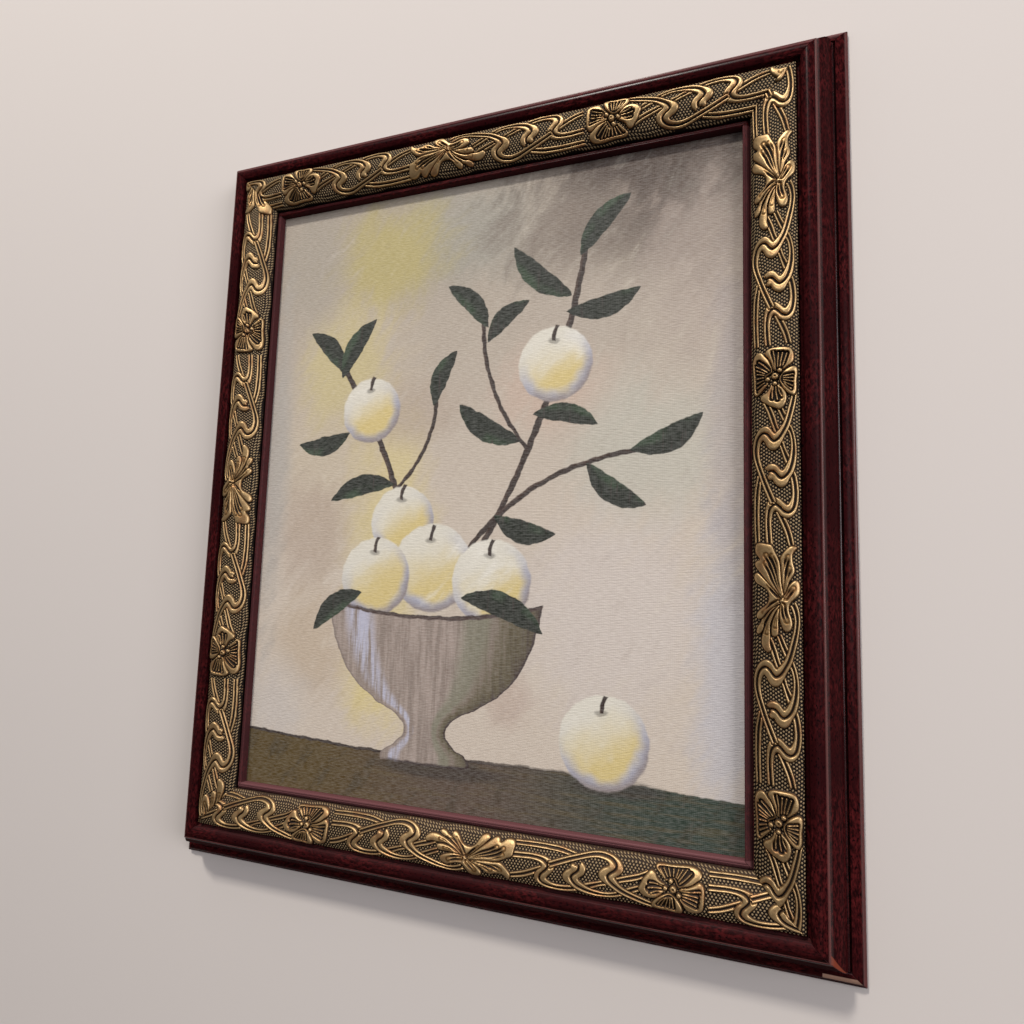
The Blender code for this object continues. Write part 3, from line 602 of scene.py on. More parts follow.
class Value:
    """What a node puts out. Two of them, or one and a number, can be put in a sum."""

    def __init__(self, node, output=0):
        self.node = node
        self.output = output
        self.tree = node.id_data

    def __add__(self, other):
        return maths("ADD", self, other)

    def __sub__(self, other):
        return maths("SUBTRACT", self, other)

    def __rsub__(self, other):
        return maths("SUBTRACT", other, self)

    def __mul__(self, other):
        return maths("MULTIPLY", self, other)

    def __truediv__(self, other):
        return maths("DIVIDE", self, other)

    def __pow__(self, other):
        return maths("POWER", self, other)

    def __abs__(self):
        return maths("ABSOLUTE", self)

    def link(self, socket):
        """Lead the value into another node's socket."""
        self.tree.links.new(self.node.outputs[self.output], socket)


def add(tree, kind, values=(), **settings):
    """A node with its settings; each value is set on the input it names, or linked to it."""
    node = tree.nodes.new(kind)
    for key, setting in settings.items():
        setattr(node, key, setting)
    for key, value in dict(values).items():
        if isinstance(value, Value):
            value.link(node.inputs[key])
        else:
            node.inputs[key].default_value = value
    return node


def tree_of(*values):
    """The node tree of the first that comes from a node; plain numbers and colours have none."""
    return next(value.tree for value in values if isinstance(value, Value))


def maths(operation, a, b=0.0):
    """One step of arithmetic."""
    return Value(add(tree_of(a, b), "ShaderNodeMath", {0: a, 1: b}, operation=operation))


def vectors(operation, a, b=(0, 0, 0)):
    """One step of vector arithmetic, some of which gives a plain number."""
    node = add(tree_of(a, b), "ShaderNodeVectorMath", {0: a, 1: b}, operation=operation)
    return Value(node, "Value" if operation in ("LENGTH", "DOT_PRODUCT") else "Vector")


def split(vector):
    """A vector's three parts."""
    node = add(vector.tree, "ShaderNodeSeparateXYZ", {0: vector})
    return Value(node, 0), Value(node, 1), Value(node, 2)


def between(value, low, high):
    """0 at low, 1 at high, smooth between; low may be the larger."""
    node = add(value.tree, "ShaderNodeMapRange",
               {"Value": value, "From Min": low, "From Max": high},
               interpolation_type="SMOOTHSTEP")
    return Value(node, "Result")


def tone(red, green, blue):
    """A colour written in the usual 0 to 255 steps, as the linear values that a shader takes."""
    linear = [(c / 255 / 12.92) if c <= 10 else ((c / 255 + 0.055) / 1.055) ** 2.4
              for c in (red, green, blue)]
    return (*linear, 1.0)


def blend(share, a, b):
    """Colour a where share is 0, b where it is 1. The Mix node's colours go by number."""
    values = {0: share, 6: a, 7: b}
    return Value(add(tree_of(share, a, b), "ShaderNodeMix", values, data_type="RGBA"), 2)


def moved(vector, scale, shift=(0, 0, 0)):
    """Places scaled along the axes, then shifted."""
    values = {"Vector": vector, "Scale": scale, "Location": shift}
    return Value(add(vector.tree, "ShaderNodeMapping", values))


def noise(vector, scale, detail, roughness=0.55, stretch=(1, 1, 1), shift=(0, 0, 0)):
    """Fractal noise, stretched along the axes."""
    values = {"Vector": moved(vector, stretch, shift), "Scale": scale, "Detail": detail,
              "Roughness": roughness}
    return Value(add(vector.tree, "ShaderNodeTexNoise", values), "Fac")


def drift(place, scale, detail, reach):
    """A shift across and up the picture that changes from place to place."""
    values = {"Vector": place, "Scale": scale, "Detail": detail}
    colour = Value(add(place.tree, "ShaderNodeTexNoise", values), "Color")
    return vectors("MULTIPLY", vectors("SUBTRACT", colour, (0.5, 0.5, 0.5)), (reach, 0, reach))


def stored(tree, name, output):
    """Values that set_attribute put on a piece's vertices."""
    return Value(add(tree, "ShaderNodeAttribute", attribute_name=name), output)


def object_place(tree):
    """Where a point is on the object, in metres."""
    return Value(add(tree, "ShaderNodeTexCoord"), "Object")


def bump(height, distance, strength):
    """A surface's fine relief, as a normal."""
    values = {"Height": height, "Distance": distance, "Strength": strength}
    return Value(add(height.tree, "ShaderNodeBump", values))


def shader_socket(shader, key):
    """The shader's input for a name in a script: coat_ior is Coat IOR."""
    return shader.inputs[key.replace("_", " ").title().replace("Ior", "IOR")]


def new_material(name, **plain):
    """A material with a Principled shader whose plain values are set on its own sockets."""
    material = bpy.data.materials.new(name)
    material.use_nodes = True
    shader = material.node_tree.nodes["Principled BSDF"]
    for key, value in plain.items():
        shader_socket(shader, key).default_value = value
    return material, material.node_tree, shader


def feed(shader, **values):
    """Link worked-out values into the shader."""
    for key, value in values.items():
        value.link(shader_socket(shader, key))


def shape_group(name, inputs, outputs):
    """An empty node group with its sockets: its tree, what it is given and its end's inputs."""
    tree = bpy.data.node_groups.new(name, "ShaderNodeTree")
    for label, kind in inputs:
        tree.interface.new_socket(label, in_out="INPUT", socket_type="NodeSocket" + kind)
    for label in outputs:
        tree.interface.new_socket(label, in_out="OUTPUT", socket_type="NodeSocketFloat")
    source = tree.nodes.new("NodeGroupInput")
    given = {label: Value(source, label) for label, _ in inputs}
    return tree, given, tree.nodes.new("NodeGroupOutput").inputs


def dust_and_light_group():
    """The places that look up, where dust settles and where light from above is painted: the output
    is 0 where the normal's upward part is Low, and 1 where it is High."""
    tree, given, result = shape_group("dust_and_light_on_top", [("Low", "Float"), ("High", "Float")],
                                      ["Dust_and_light"])
    _, _, up = split(Value(add(tree, "ShaderNodeNewGeometry"), "Normal"))
    between(up, given["Low"], given["High"]).link(result["Dust_and_light"])
    return tree


def looks_up(tree, low, high):
    """The group for dust and painted light from above, placed in a material with its own two
    values.
    """
    dust_and_light_tree = bpy.data.node_groups.get("dust_and_light_on_top") or dust_and_light_group()
    return Value(add(tree, "ShaderNodeGroup", {"Low": low, "High": high}, node_tree=dust_and_light_tree), "Dust_and_light")


def pebble_tips(tree):
    """The same domes as pebbles() makes, from the lattice stored on the band."""
    column, row, ground = split(stored(tree, "pebbled", "Vector"))
    odd = maths("FLOORED_MODULO", maths("FLOOR", row), 2.0)
    x = (maths("FRACT", column + odd * 0.5) - 0.5) / PEBBLE_HALF[0]
    y = (maths("FRACT", row) - 0.5) / PEBBLE_HALF[1]
    away = abs(x) ** 2.0 + abs(y) ** 2.0
    return between(away, 0.9, 0.35) * ground


def gold_material():
    """Antique gold: bronze powder rubbed back to a black-brown ground in the hollows, with dust and
    painted light from above on faces that look up.
    """
    material, tree, shader = new_material("antique_gold", specular_ior_level=0.16)
    place = object_place(tree)
    cloud = noise(place, 35.0, 2.0)
    copper = noise(place, 90.0, 2.0, shift=(3, 1, 2))
    speck = noise(place, 700.0, 1.0)
    tips = pebble_tips(tree)
    left = maths("MAXIMUM", stored(tree, "gilt", "Fac"), tips)
    wear_and_light = left + (cloud - 0.5) * 0.3 + (speck - 0.5) * 0.25
    shown = between(wear_and_light, 0.2, 0.6)
    plain = shown * (1.0 - tips * 0.7)
    gold = blend(between(wear_and_light, 0.55, 1.05), tone(138, 103, 63), tone(210, 177, 130))
    gold = blend(between(copper, 0.52, 0.7) * 0.45, gold, tone(168, 112, 74))
    gold = blend(tips * 0.8, gold, tone(144, 126, 98))
    colour = blend(shown, tone(22, 14, 10), gold)
    # Dust and painted light from above: a grey-brown film on faces that look up, most on the dark
    # ground
    dust_and_sheen = looks_up(tree, 0.15, 0.8) * (0.2 - shown * 0.12)
    colour = blend(dust_and_sheen, colour, tone(128, 102, 84))
    feed(shader, base_color=colour, metallic=shown * (0.82 - tips * 0.4),
         roughness=0.62 - plain * 0.16, normal=bump(speck, 0.00014, 0.6))
    return material


# Where the lacquer is rubbed bright at each proud edge: (place outward from the opening, reach,
# gloss), in millimetres
GLOSSY_EDGES = ((2.2, 3.0, 0.1), (42.8, 1.6, 0.3), (48.4, 2.0, 0.5), (58.8, 1.3, 0.6),
                (67.6, 1.6, 0.4))
# Where a pale highlight is painted along the lacquer's proud edges, in the same form
PAINTED_EDGE_HIGHLIGHTS = ((47.7, 0.9, 0.5), (68.0, 1.5, 0.4))


def by_edge(out, edges, value):
    """The largest of a value and each edge's own, which fades away from the edge."""
    for middle, reach, most in edges:
        near = between(abs(out - middle / MM), reach / MM, reach * 0.4 / MM) * most
        value = maths("MAXIMUM", value, near)
    return value


def lit_corner_patches(along, out, whole):
    """Two painted patches of light by the lower right mitre, each as its mask and its colour: the
    lit end of the right rail's slope, cut along the mitre, and the lit end of the bottom rail's
    foot."""
    along, out = along * MM, out * MM
    x, _, z = split(whole)
    here = maths("GREATER_THAN", x, 0.2) * maths("LESS_THAN", z, -0.5)
    slope = (between(along - out * 1.568, 211.4, 212.2) * between(out, 48.0, 48.5)
             * between(out, 58.0, 57.5))
    foot = (between(along, -240.6, -241.2) * between(out, 63.0, 63.5)
            * between(out, 66.6, 66.1))
    return (slope * here, tone(118, 56, 40)), (foot * here, tone(178, 140, 120))


def lacquer_material():
    """Dark mahogany lacquer: fine specks and streaks, glossy on the proud edges, dull between, with
    dust and painted light from above on faces that look up, painted highlights along the proud
    edges and on the lips, two painted patches of light by the lower right mitre, and bare wood at
    the back."""
    material, tree, shader = new_material("mahogany_lacquer", specular_ior_level=0.0,
                                          coat_roughness=0.27, coat_ior=1.5)
    place = stored(tree, "place", "Vector")
    along, out, depth = split(place)
    whole = object_place(tree)
    streak = noise(place, 380.0, 3.0, 0.7, stretch=(0.6, 1.3, 1.3))
    pore = noise(place, 900.0, 1.0, 0.5, stretch=(0.5, 1.0, 1.0))
    cloud = noise(place, 18.0, 1.0)
    colour = blend(between(streak, 0.36, 0.7), tone(29, 8, 9), tone(78, 24, 25))
    colour = blend(between(cloud, 0.35, 0.7), colour, tone(42, 11, 13))
    colour = blend(between(pore, 0.56, 0.72), colour, tone(16, 5, 7))
    # Painted highlight: a pale line along the proud edges, left off where they face down
    edge_highlight = by_edge(out, PAINTED_EDGE_HIGHLIGHTS, 0.0) * looks_up(tree, -0.45, -0.05)
    colour = blend(edge_highlight, colour, tone(124, 80, 76))
    # Dust and painted light from above: a pinkish film on faces that look up, strongest from the
    # rim's crest outward
    dust_and_sheen = looks_up(tree, 0.15, 0.8) * (between(out, 0.044, 0.046) * 0.45 + 0.1)
    colour = blend(dust_and_sheen, colour, tone(132, 92, 92))

    # Painted highlight on the lips: faint on the side rails, strong on the bottom rail, where the
    # lip faces up, and none on the top rail, which is in shade
    head = (CENTRE_Z + OPENING_HEIGHT / 2) / MM
    foot = (CENTRE_Z - OPENING_HEIGHT / 2) / MM
    height = split(whole)[2]
    lip_highlight = (between(height, head + 0.0004, head - 0.0004) * 0.25
           + between(height, foot + 0.0008, foot - 0.0002) * 0.55)
    colour = blend(lip_highlight * between(out, 0.0052, 0.0046), colour, tone(120, 78, 80))
    # Two painted patches of light by the lower right mitre
    for wear_and_light, corner_light_tone in lit_corner_patches(along, out, whole):
        colour = blend(wear_and_light, colour, corner_light_tone)

    bare = between(depth, 0.0009, 0.0004)
    colour = blend(bare, colour, tone(96, 70, 50))
    feed(shader, base_color=colour, roughness=cloud * 0.18 + 0.3 + bare * 0.3,
         coat_weight=by_edge(out, GLOSSY_EDGES, 0.04) * (1.0 - bare),
         normal=bump(pore, 0.0001, 0.25))
    return material


def pine_material():
    """Planed pine: growth lines along the bar, with a little grain between."""
    material, tree, shader = new_material("planed_pine", roughness=0.62)
    place = object_place(tree)
    grain = noise(place, 40.0, 4.0, 0.6)
    line = noise(place, 160.0, 3.0, 0.6, stretch=(0.15, 1.0, 1.0))
    colour = blend(between(line, 0.4, 0.62), tone(206, 168, 116), tone(176, 130, 80))
    colour = blend(between(grain, 0.5, 0.75), colour, tone(190, 148, 98))
    feed(shader, base_color=colour, normal=bump(line, 0.0002, 0.4))
    return material


# The canvas, in millimetres: cell size, how far its turned edge reaches over the bars, the
# cloth's thickness, the radius of its folds, and how deep behind its front the turned edge lies
CANVAS_CELL = 4.0
TURNED_BACK = 14.0
CLOTH_THICK = 0.5
FOLD_RADIUS = 1.1
CANVAS_DEPTH = CANVAS_FRONT - 1.0


def wrapped_path(half):
    """Flat positions across the cloth and where each lies: over the front, round and behind."""
    quarter = FOLD_RADIUS * math.pi / 2
    face = half - FOLD_RADIUS
    drop = CANVAS_DEPTH - 2 * FOLD_RADIUS
    stops = [face]
    for stretch, cuts in ((quarter, 4), (drop, 3), (quarter, 4), (TURNED_BACK - FOLD_RADIUS, 3)):
        stops += [stops[-1] + stretch * k / cuts for k in range(1, cuts + 1)]
    stops = np.array(stops[1:])
    inner = np.linspace(-face, face, round(2 * face / CANVAS_CELL) + 1)
    flat = np.concatenate([-stops[::-1], inner, stops])
    away = np.abs(flat)
    first = np.clip((away - face) / FOLD_RADIUS, 0, math.pi / 2)
    down = np.clip(away - face - quarter, 0, drop)
    second = np.clip((away - face - quarter - drop) / FOLD_RADIUS, 0, math.pi / 2)
    back = np.clip(away - face - 2 * quarter - drop, 0, None)
    out = (np.minimum(away, face) + FOLD_RADIUS * np.sin(first)
           - FOLD_RADIUS * (1 - np.cos(second)) - back)
    depth = FOLD_RADIUS * (1 - np.cos(first)) + down + FOLD_RADIUS * np.sin(second)
    return flat, np.sign(flat) * out, depth


def canvas_sheet(material):
    """The cloth: one grid over the front, its sides turned down and back, corners cut away."""
    low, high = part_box("canvas")
    half_x = (high.x - low.x) / 2 * MM
    half_z = (high.z - low.z) / 2 * MM
    flat_a, x, depth_a = wrapped_path(half_x)
    flat_b, z, depth_b = wrapped_path(half_z)
    depth = depth_a[:, None] + depth_b[None, :]
    points = np.stack([x[:, None] + 0 * depth, depth - CANVAS_FRONT,
                       z[None, :] + CENTRE_Z + 0 * depth], -1)
    index = np.arange(depth.size).reshape(depth.shape)
    grid = np.stack([index[:-1, :-1], index[1:, :-1], index[1:, 1:], index[:-1, 1:]], -1)
    over_a = np.minimum(depth_a[:-1], depth_a[1:]) > 0.01
    over_b = np.minimum(depth_b[:-1], depth_b[1:]) > 0.01
    faces = grid[~(over_a[:, None] & over_b[None, :])]
    used, renumbered = np.unique(faces, return_inverse=True)
    piece = make_piece("painted_canvas", points.reshape(-1, 3)[used] / MM,
                       renumbered.reshape(-1, 4).tolist(), material, smooth=60)
    solid = piece.modifiers.new("thickness", "SOLIDIFY")
    solid.thickness = CLOTH_THICK / MM
    solid.offset = -1
    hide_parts("canvas")


# The picture, in millimetres from the canvas's centre, to the right and up: a footed bowl of pale
# fruit on a table, with leafy twigs behind. The bowl's outline is its half width at each height
TABLE_EDGE = -207.0
BOWL_CENTRE = -34.0
BOWL_FOOT = -214.0
BOWL_RIM = -92.0
BOWL_WIDTH = 92.0
BOWL_OUTLINE = [(0, .40), (.05, .40), (.12, .27), (.2, .19), (.27, .24), (.36, .46), (.5, .72),
                (.68, .88), (.85, .96), (1, 1)]

# Fruit as (across, up, radius)
FRUIT_ON_TWIGS = [(62, 88, 29), (-96, 62, 27)]
FRUIT_IN_BOWL = [(-62, -30, 28), (-34, -66, 34), (16, -76, 32), (-84, -74, 31)]
FRUIT_ON_TABLE = (104, -184, 32)

# Twigs and leaves as (foot, tip, bow to the left, width), and each kind's dark and light tones
TWIGS = [((-18, -90), (84, 176), -16, 5), ((-48, -84), (-128, 104), -12, 5),
         ((-10, -60), (128, 20), 18, 4), ((42, 24), (2, 128), 10, 3.5),
         ((-69, -4), (-36, 66), -8, 3.5)]
LEAVES = [((80, 170), (118, 214), 5, 17), ((74, 140), (26, 184), 6, 18),
          ((70, 128), (126, 140), -6, 17), ((6, 122), (-30, 160), -5, 16),
          ((6, 110), (40, 140), 5, 15), ((36, 30), (-16, 62), 6, 18), ((46, 50), (96, 40), 5, 15),
          ((120, 20), (170, 44), -6, 18), ((88, 12), (132, -20), -6, 17),
          ((-124, 96), (-160, 134), -5, 16), ((-126, 92), (-96, 140), 5, 17),
          ((-116, 44), (-166, 36), 6, 16), ((-38, 62), (-20, 106), 5, 15),
          ((-71, 0), (-130, -12), -6, 17), ((17, -26), (66, -40), -6, 17)]
LEAVES_IN_FRONT = [((-8, -88), (58, -112), 7, 19), ((-96, -86), (-140, -118), -6, 17)]
TWIG_TONES = (tone(50, 36, 32), tone(74, 54, 46))
LEAF_TONES = (tone(28, 34, 26), tone(48, 66, 46))

# Clouds behind, as (across, up, half width, half height, colour, strength): most are patches of
# paint, and the last two darken strips down the picture's left and right sides
CLOUDS = [
    (-120, 40, 80, 130, (196, 180, 156), 0.7), (-20, 200, 100, 45, (156, 150, 138), 0.85),
    (-85, 195, 60, 50, (184, 168, 104), 0.8), (-125, 100, 50, 55, (200, 184, 132), 0.75),
    (-160, 190, 35, 60, (166, 156, 142), 0.6), (-75, -40, 40, 110, (212, 194, 140), 0.8),
    (-70, -150, 45, 50, (216, 196, 134), 0.8), (-60, 60, 60, 30, (176, 158, 142), 0.6),
    (-150, -40, 40, 50, (178, 158, 142), 0.65), (-140, -130, 40, 50, (186, 164, 138), 0.6),
    (-175, -180, 40, 40, (198, 188, 180), 0.75), (150, 225, 130, 90, (80, 65, 57), 1.0),
    (175, 150, 60, 80, (176, 160, 148), 0.7), (70, 190, 60, 40, (140, 126, 114), 0.7),
    (90, 130, 60, 40, (178, 164, 150), 0.6), (60, 70, 50, 40, (200, 172, 154), 0.6),
    (130, 20, 60, 60, (186, 184, 170), 0.6), (110, -100, 90, 80, (206, 194, 186), 0.7),
    (30, -160, 26, 26, (182, 158, 144), 0.5),
    (185, -120, 25, 120, (188, 184, 188), 0.8), (188, 20, 18, 120, (172, 162, 160), 0.6),
    (-190, 20, 18, 150, (170, 164, 158), 0.7),
]


def blade_group():
    """A leaf or stem from foot to tip: v is off the bowed middle, half the width there is
    Width / 2 * (4t(1 - t))^Plump, and Away is |v| less that, or how far past an end."""
    tree, given, result = shape_group(
        "blade_shape", [("Place", "Vector"), ("Foot", "Vector"), ("Tip", "Vector"),
                        ("Bow", "Float"), ("Width", "Float"), ("Plump", "Float")],
        ["Away", "Side"])
    from_foot = vectors("SUBTRACT", given["Place"], given["Foot"])
    way = vectors("SUBTRACT", given["Tip"], given["Foot"])
    length = vectors("LENGTH", way)
    t = vectors("DOT_PRODUCT", from_foot, way) / (length * length)
    normal = vectors("CROSS_PRODUCT", way, (0, 1, 0))
    hump = maths("MAXIMUM", t * (1.0 - t) * 4.0, 0.0)
    v = vectors("DOT_PRODUCT", from_foot, normal) / length - given["Bow"] * hump
    half = given["Width"] * 0.5
    sideways = abs(v) - half * hump ** given["Plump"]
    past = (abs(t - 0.5) - 0.5) * length
    maths("MAXIMUM", sideways, past).link(result["Away"])
    (v / half).link(result["Side"])
    return tree


def ball_group():
    """A round shape: Away is how far outside its edge, Across and Up run from -1 to 1 on it."""
    tree, given, result = shape_group(
        "ball_shape", [("Place", "Vector"), ("Centre", "Vector"), ("Radius", "Float")],
        ["Away", "Across", "Up"])
    from_centre = vectors("SUBTRACT", given["Place"], given["Centre"])
    across, _, up = split(from_centre)
    (vectors("LENGTH", from_centre) - given["Radius"]).link(result["Away"])
    (across / given["Radius"]).link(result["Across"])
    (up / given["Radius"]).link(result["Up"])
    return tree


def oval(place, across, up, wide, high):
    """How far out a place lies from an oval's middle, 1 being its edge."""
    apart = vectors("SUBTRACT", place, (across, 0, up))
    return vectors("LENGTH", vectors("DIVIDE", apart, (wide, 1, high)))


class Painter:
    """Paint laid in coats on the canvas, each over the last."""

    def __init__(self, tree):
        self.tree = tree
        self.blade = blade_group()
        self.ball = ball_group()
        self.place = moved(object_place(tree), (MM, 0, MM), (0, 0, -CENTRE_Z))
        self.brushed = vectors("ADD", self.place, drift(self.place, 0.12, 2.0, 3.2))
        self.x, _, self.z = split(self.brushed)
        self.upright = noise(self.place, 0.25, 3.0, 0.6, stretch=(1, 1, 0.09))
        self.level = noise(self.place, 0.3, 2.0, 0.6, stretch=(0.07, 1, 1))
        self.patch = noise(self.place, 0.035, 2.0, 0.6)
        slant = Value(add(tree, "ShaderNodeVectorRotate",
                          {"Vector": self.place, "Axis": (0, 1, 0), "Angle": 0.9}))
        slant = vectors("ADD", slant, drift(self.place, 0.012, 1.0, 40))
        self.strokes = noise(slant, 0.022, 4.0, 0.62, stretch=(0.5, 1, 1.2))
        self.fleck = noise(slant, 0.07, 4.0, 0.65, stretch=(0.45, 1, 1.3))
        self.ragged = self.strokes * 1.3 + self.fleck * 1.1 - 1.2
        self.colour = None

    def coat(self, share, colour):
        """Cover the picture with a colour where share is 1."""
        self.colour = blend(share, self.colour, colour)

    def shadow(self, across, up, wide, high, strength):
        """A soft dark stain, wide and flat."""
        stain = between(oval(self.brushed, across, up, wide, high), 1.0, 0.5)
        self.coat(stain * strength, tone(48, 38, 34))

    def leaf(self, foot, tip, bow, width, plump=0.8):
        """A dark green leaf, lighter along one side, or with plump 0 a brown twig."""
        values = {"Place": self.brushed, "Foot": (foot[0], 0, foot[1]), "Tip": (tip[0], 0, tip[1]),
                  "Bow": bow, "Width": width, "Plump": plump}
        shape = add(self.tree, "ShaderNodeGroup", values, node_tree=self.blade)
        dark, light = LEAF_TONES if plump else TWIG_TONES
        side = between(Value(shape, "Side"), -0.1, 0.5) * between(self.patch, 0.4, 0.6)
        colour = blend(side, dark, light)
        colour = blend(between(self.upright, 0.55, 0.75), colour, tone(58, 44, 42))
        self.coat(between(Value(shape, "Away"), 0.5, -0.6), colour)

    def fruit(self, across, up, radius):
        """A pale fruit: cream with a yellow side, lavender touches near its edge, a short stalk."""
        values = {"Place": self.brushed, "Centre": (across, 0, up), "Radius": radius}
        shape = add(self.tree, "ShaderNodeGroup", values, node_tree=self.ball)
        away, right, high = (Value(shape, key) for key in ("Away", "Across", "Up"))
        lit = high + right * -0.5
        colour = blend(between(lit + self.strokes * 1.6, 1.5, 0.3), tone(220, 213, 198),
                       tone(212, 190, 128))
        cool = between(away + self.patch * 16.0, -3.0, 7.0) * between(lit, 0.9, -0.5)
        colour = blend(cool, colour, tone(176, 178, 196))
        shade = between(away, -9.0, 0.0) * between(lit, 0.2, -0.9)
        colour = blend(shade * 0.75, colour, tone(128, 108, 92))
        touch = between(self.strokes, 0.56, 0.7) * 0.6
        colour = blend(touch, colour, tone(232, 226, 214))
        self.coat(between(away, 1.0, -1.0), colour)
        hollow = (across - radius * 0.05, up + radius * 0.62)
        self.shadow(*hollow, 6, 3, 0.5)
        self.leaf(hollow, (hollow[0] + 3, hollow[1] + 12), 1, 3, plump=0)

    def cloud(self, across, up, wide, high, colour, strength):
        """A soft cloud of one colour round a place, its edge broken by brush strokes."""
        edge = oval(self.place, across, up, wide, high) + self.ragged
        self.coat(between(edge, 1.25, 0.35) * strength, tone(*colour))

    def background(self):
        """Warm grey at the top turning to cream below, under clouds of the colours in CLOUDS."""
        rise = self.z + self.strokes * 60.0
        self.colour = blend(between(rise, 260.0, -60.0), tone(170, 157, 142), tone(203, 188, 172))
        for cloud in CLOUDS:
            self.cloud(*cloud)
        self.coat(between(self.fleck, 0.55, 0.72) * 0.12, tone(226, 218, 202))
        self.coat(between(self.fleck, 0.46, 0.3) * 0.14, tone(150, 132, 118))

    def table(self):
        """A dark table along the foot, olive brown on the left and grey green on the right."""
        edge = maths("SINE", self.x * 0.021) * 2.0 + self.x * -0.02
        over = self.z - edge - TABLE_EDGE
        colour = blend(between(self.x, -150.0, 0.0), tone(82, 62, 14), tone(85, 67, 54))
        colour = blend(between(self.x, 0.0, 150.0), colour, tone(37, 53, 42))
        colour = blend(between(self.level, 0.46, 0.66) * 0.4, colour, tone(96, 79, 44))
        colour = blend(between(self.fleck, 0.5, 0.36) * 0.5, colour, tone(56, 46, 28))
        self.coat(between(over, 0.6, -0.6), colour)
        line = between(abs(over), 1.6, 0.6) * between(self.x, 150.0, -20.0)
        self.coat(line, tone(50, 36, 32))

    def bowl(self):
        """A grey-brown footed bowl in upright strokes, with a dark outline and an open rim."""
        share = (self.z - BOWL_FOOT) / (BOWL_RIM - BOWL_FOOT)
        outline = add(self.tree, "ShaderNodeFloatCurve", {"Value": share})
        curve = outline.mapping.curves[0]
        curve.points[0].location, curve.points[1].location = BOWL_OUTLINE[0], BOWL_OUTLINE[-1]
        for point in BOWL_OUTLINE[1:-1]:
            curve.points.new(*point)
        outline.mapping.update()
        half = Value(outline) * BOWL_WIDTH
        off = self.x - BOWL_CENTRE
        arch = 1.0 - abs(off / BOWL_WIDTH) ** 2.0
        top = self.z - BOWL_RIM + arch * 11.0
        foot = BOWL_FOOT - self.z - (arch * 6.0 - 6.0)
        sides = abs(off) - half
        away = maths("MAXIMUM", maths("MAXIMUM", sides, top), foot)
        turned = off / maths("MAXIMUM", half, 4.0)
        dark = turned + self.upright * 0.7
        colour = blend(between(self.upright, 0.36, 0.64), tone(140, 124, 114), tone(166, 149, 139))
        colour = blend(between(dark, 0.7, 1.2), colour, tone(98, 88, 66))
        colour = blend(between(dark, 1.1, 1.5), colour, tone(66, 50, 48))
        shine = between(abs(turned + 0.7), 0.2, 0.05) * between(self.upright, 0.35, 0.6)
        colour = blend(shine, colour, tone(184, 182, 198))
        green = between(abs(turned - 0.45), 0.2, 0.05) * 0.5
        colour = blend(green, colour, tone(112, 118, 92))
        edging = between(away, -2.6, -0.6) * between(turned + self.upright, -0.9, 0.2)
        colour = blend(edging, colour, tone(56, 40, 40))
        self.coat(between(away, 0.5, -0.5), colour)
        rim = between(abs(top + 2.0), 1.6, 0.4) * between(sides, 0.5, -0.5)
        self.coat(rim, tone(74, 56, 52))


def weave_height(place):
    """Canvas threads, stronger across than up, uneven from place to place."""
    x, _, z = split(place)
    weft = maths("SINE", z * (2 * math.pi / 1.1))
    warp = maths("SINE", x * (2 * math.pi / 1.3))
    slub = noise(place, 0.9, 2.0, 0.6, stretch=(0.22, 1, 1))
    return weft * 0.18 + warp * 0.08 + slub * 2.0


def canvas_material():
    """Acrylic paint on the front of the cloth, and bare cloth on its sides and back."""
    material, tree, shader = new_material("acrylic_on_canvas", specular_ior_level=0.12)
    paint = Painter(tree)
    paint.background()
    paint.table()
    for twig in TWIGS:
        paint.leaf(*twig, plump=0)
    for leaf in LEAVES:
        paint.leaf(*leaf)
    for fruit in FRUIT_ON_TWIGS + FRUIT_IN_BOWL:
        paint.fruit(*fruit)
    paint.shadow(BOWL_CENTRE + 14, BOWL_FOOT - 2, 70, 9, 0.7)
    paint.bowl()
    for leaf in LEAVES_IN_FRONT:
        paint.leaf(*leaf)
    across, up, radius = FRUIT_ON_TABLE
    paint.shadow(across + 10, up - radius + 3, 42, 8, 0.7)
    paint.fruit(across, up, radius)

    weave = weave_height(paint.place)
    grain = between(weave, 0.4, 1.7)
    threads = blend(grain, tone(60, 54, 50), tone(255, 252, 245))
    cloth = blend(grain, tone(196, 184, 158), tone(218, 208, 186))
    _, depth, _ = split(object_place(tree))
    behind = between(depth, -(CANVAS_FRONT - 0.15) / MM, -(CANVAS_FRONT - 0.3) / MM)
    colour = blend(behind, blend(0.1, paint.colour, threads), cloth)
    feed(shader, base_color=colour, roughness=paint.patch * 0.2 + 0.42,
         normal=bump(weave, 0.00016, 0.8))
    return material


# The room, in metres: where the wall and the floor lie, how far each runs from the middle, and
# the wall's opening behind the frame as (left, right, low, high)
WALL_PLACE = 0.0005
FLOOR_PLACE = -1.3
ROOM_REACH = 3.0
WALL_OPENING = (-0.264, 0.264, -0.5935, 0.0292)


def upright_sheet(name, corners, faces, material):
    """A flat sheet of the wall, from its corners as (x, z)."""
    mesh = bpy.data.meshes.new(name)
    mesh.from_pydata([(x, WALL_PLACE, z) for x, z in corners], [], faces)
    mesh.materials.append(material)
    sheet = bpy.data.objects.new(name, mesh)
    bpy.context.scene.collection.objects.link(sheet)
    return sheet


def rectangle(left, right, low, high):
    """The corners of an upright rectangle, anticlockwise as the room sees it."""
    return [(left, low), (right, low), (right, high), (left, high)]


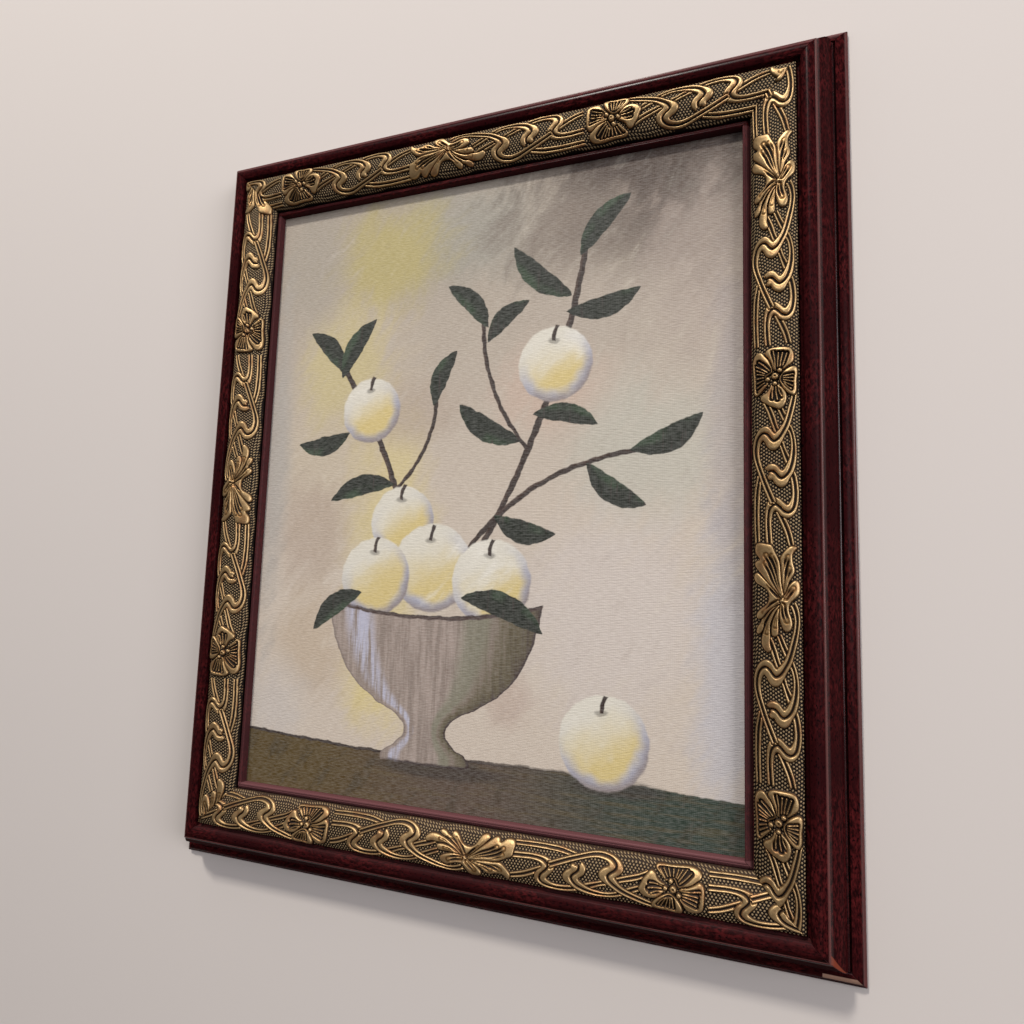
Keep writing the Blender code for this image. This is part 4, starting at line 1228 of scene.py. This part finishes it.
def wall():
    """A pale wall, seen only from its front. It is left open behind the frame, so that the back
    is lit when it is looked at. A second sheet fills the opening for the camera alone, so
    nothing shows through the joints."""
    material, tree, shader = new_material("plain_wall", roughness=0.85,
                                          base_color=tone(209, 200, 194))
    behind = Value(add(tree, "ShaderNodeNewGeometry"), "Backfacing")
    clear = Value(add(tree, "ShaderNodeBsdfTransparent"))
    mixed = Value(add(tree, "ShaderNodeMixShader", {0: behind, 1: Value(shader), 2: clear}))
    mixed.link(tree.nodes["Material Output"].inputs[0])
    outer = rectangle(-ROOM_REACH, ROOM_REACH, -ROOM_REACH, ROOM_REACH)
    inner = rectangle(*WALL_OPENING)
    ring = [(k, (k + 1) % 4, (k + 1) % 4 + 4, k + 4) for k in range(4)]
    upright_sheet("wall", outer + inner, ring, material)
    filling = upright_sheet("wall_filling", inner, [(0, 1, 2, 3)], material)
    filling.visible_diffuse = False
    filling.visible_glossy = False
    filling.visible_transmission = False
    filling.visible_shadow = False


def floor():
    """A pale floor that sends little light back up."""
    material, tree, shader = new_material("plain_floor", roughness=0.9)
    seen = Value(add(tree, "ShaderNodeLightPath"), "Is Camera Ray")
    feed(shader, base_color=blend(seen, tone(52, 46, 44), tone(206, 200, 194)))
    bpy.ops.mesh.primitive_plane_add(size=2 * ROOM_REACH, location=(0, 0, FLOOR_PLACE))
    plane = bpy.context.object
    plane.name = "floor"
    plane.data.materials.append(material)


# Lamps as name: (place, size in metres, watts, colour)
LAMPS = {
    "ceiling": ((-0.6, -2.4, 2.6), 0.4, 98.0, (1.0, 0.97, 0.9)),
    "overhead": ((-0.6, -1.9, 2.2), 2.0, 6.0, (1.0, 1.0, 1.04)),
    "right": ((2.9, -1.8, 0.2), 1.6, 60.0, (1.0, 1.0, 1.03)),
}
ROOM_LIGHT = 0.4
ROOM_LIGHT_MIRRORED = 0.07
ROOM_TONE = (0.98, 0.99, 1.08, 1.0)

# The camera's place in metres, its turns in degrees, and its lens and sensor in millimetres
CAMERA_PLACE = (0.2316, -0.5203, -0.3671)
CAMERA_PAN = 21.68
CAMERA_TILT = 6.47
CAMERA_ROLL = 1.87
CAMERA_LENS = 25.70
CAMERA_SENSOR = 36.0


def light():
    """A dim room that mirrors hardly show, a small lamp and two wide ones, aimed at the picture."""
    world = bpy.data.worlds.new("room")
    world.use_nodes = True
    room = world.node_tree.nodes["Background"]
    room.inputs["Color"].default_value = ROOM_TONE
    mirrored = Value(add(world.node_tree, "ShaderNodeLightPath"), "Is Glossy Ray")
    strength = ROOM_LIGHT - mirrored * (ROOM_LIGHT - ROOM_LIGHT_MIRRORED)
    strength.link(room.inputs["Strength"])
    bpy.context.scene.world = world
    for name, (place, size, power, colour) in LAMPS.items():
        lamp = bpy.data.lights.new(name, "AREA")
        lamp.size = size
        lamp.energy = power
        lamp.color = colour
        holder = bpy.data.objects.new(name, lamp)
        holder.location = place
        aim = -holder.location
        aim.z += CENTRE_Z / MM
        holder.rotation_euler = aim.to_track_quat("-Z", "Y").to_euler()
        bpy.context.scene.collection.objects.link(holder)


def camera():
    """The photo's own view, from below and from the right."""
    lens = bpy.data.cameras.new("camera")
    lens.lens = CAMERA_LENS
    lens.sensor_width = CAMERA_SENSOR
    holder = bpy.data.objects.new("camera", lens)
    turn = (Matrix.Rotation(math.radians(CAMERA_PAN), 4, "Z")
            @ Matrix.Rotation(math.radians(90 + CAMERA_TILT), 4, "X")
            @ Matrix.Rotation(math.radians(CAMERA_ROLL), 4, "Z"))
    holder.matrix_world = Matrix.Translation(CAMERA_PLACE) @ turn
    bpy.context.scene.collection.objects.link(holder)
    bpy.context.scene.camera = holder
    bpy.context.scene.view_settings.view_transform = "Standard"


tile = carve_tile()
gold = gold_material()
lacquer = lacquer_material()
for side in QUARTER_TURNS:
    carved_band(side, tile, gold)
    lacquered_moulding(side, lacquer)
canvas_sheet(canvas_material())
pine = pine_material()
for side in QUARTER_TURNS:
    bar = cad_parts["stretcher_" + side]
    bar.data.materials.clear()
    bar.data.materials.append(pine)
wall()
floor()
light()
camera()
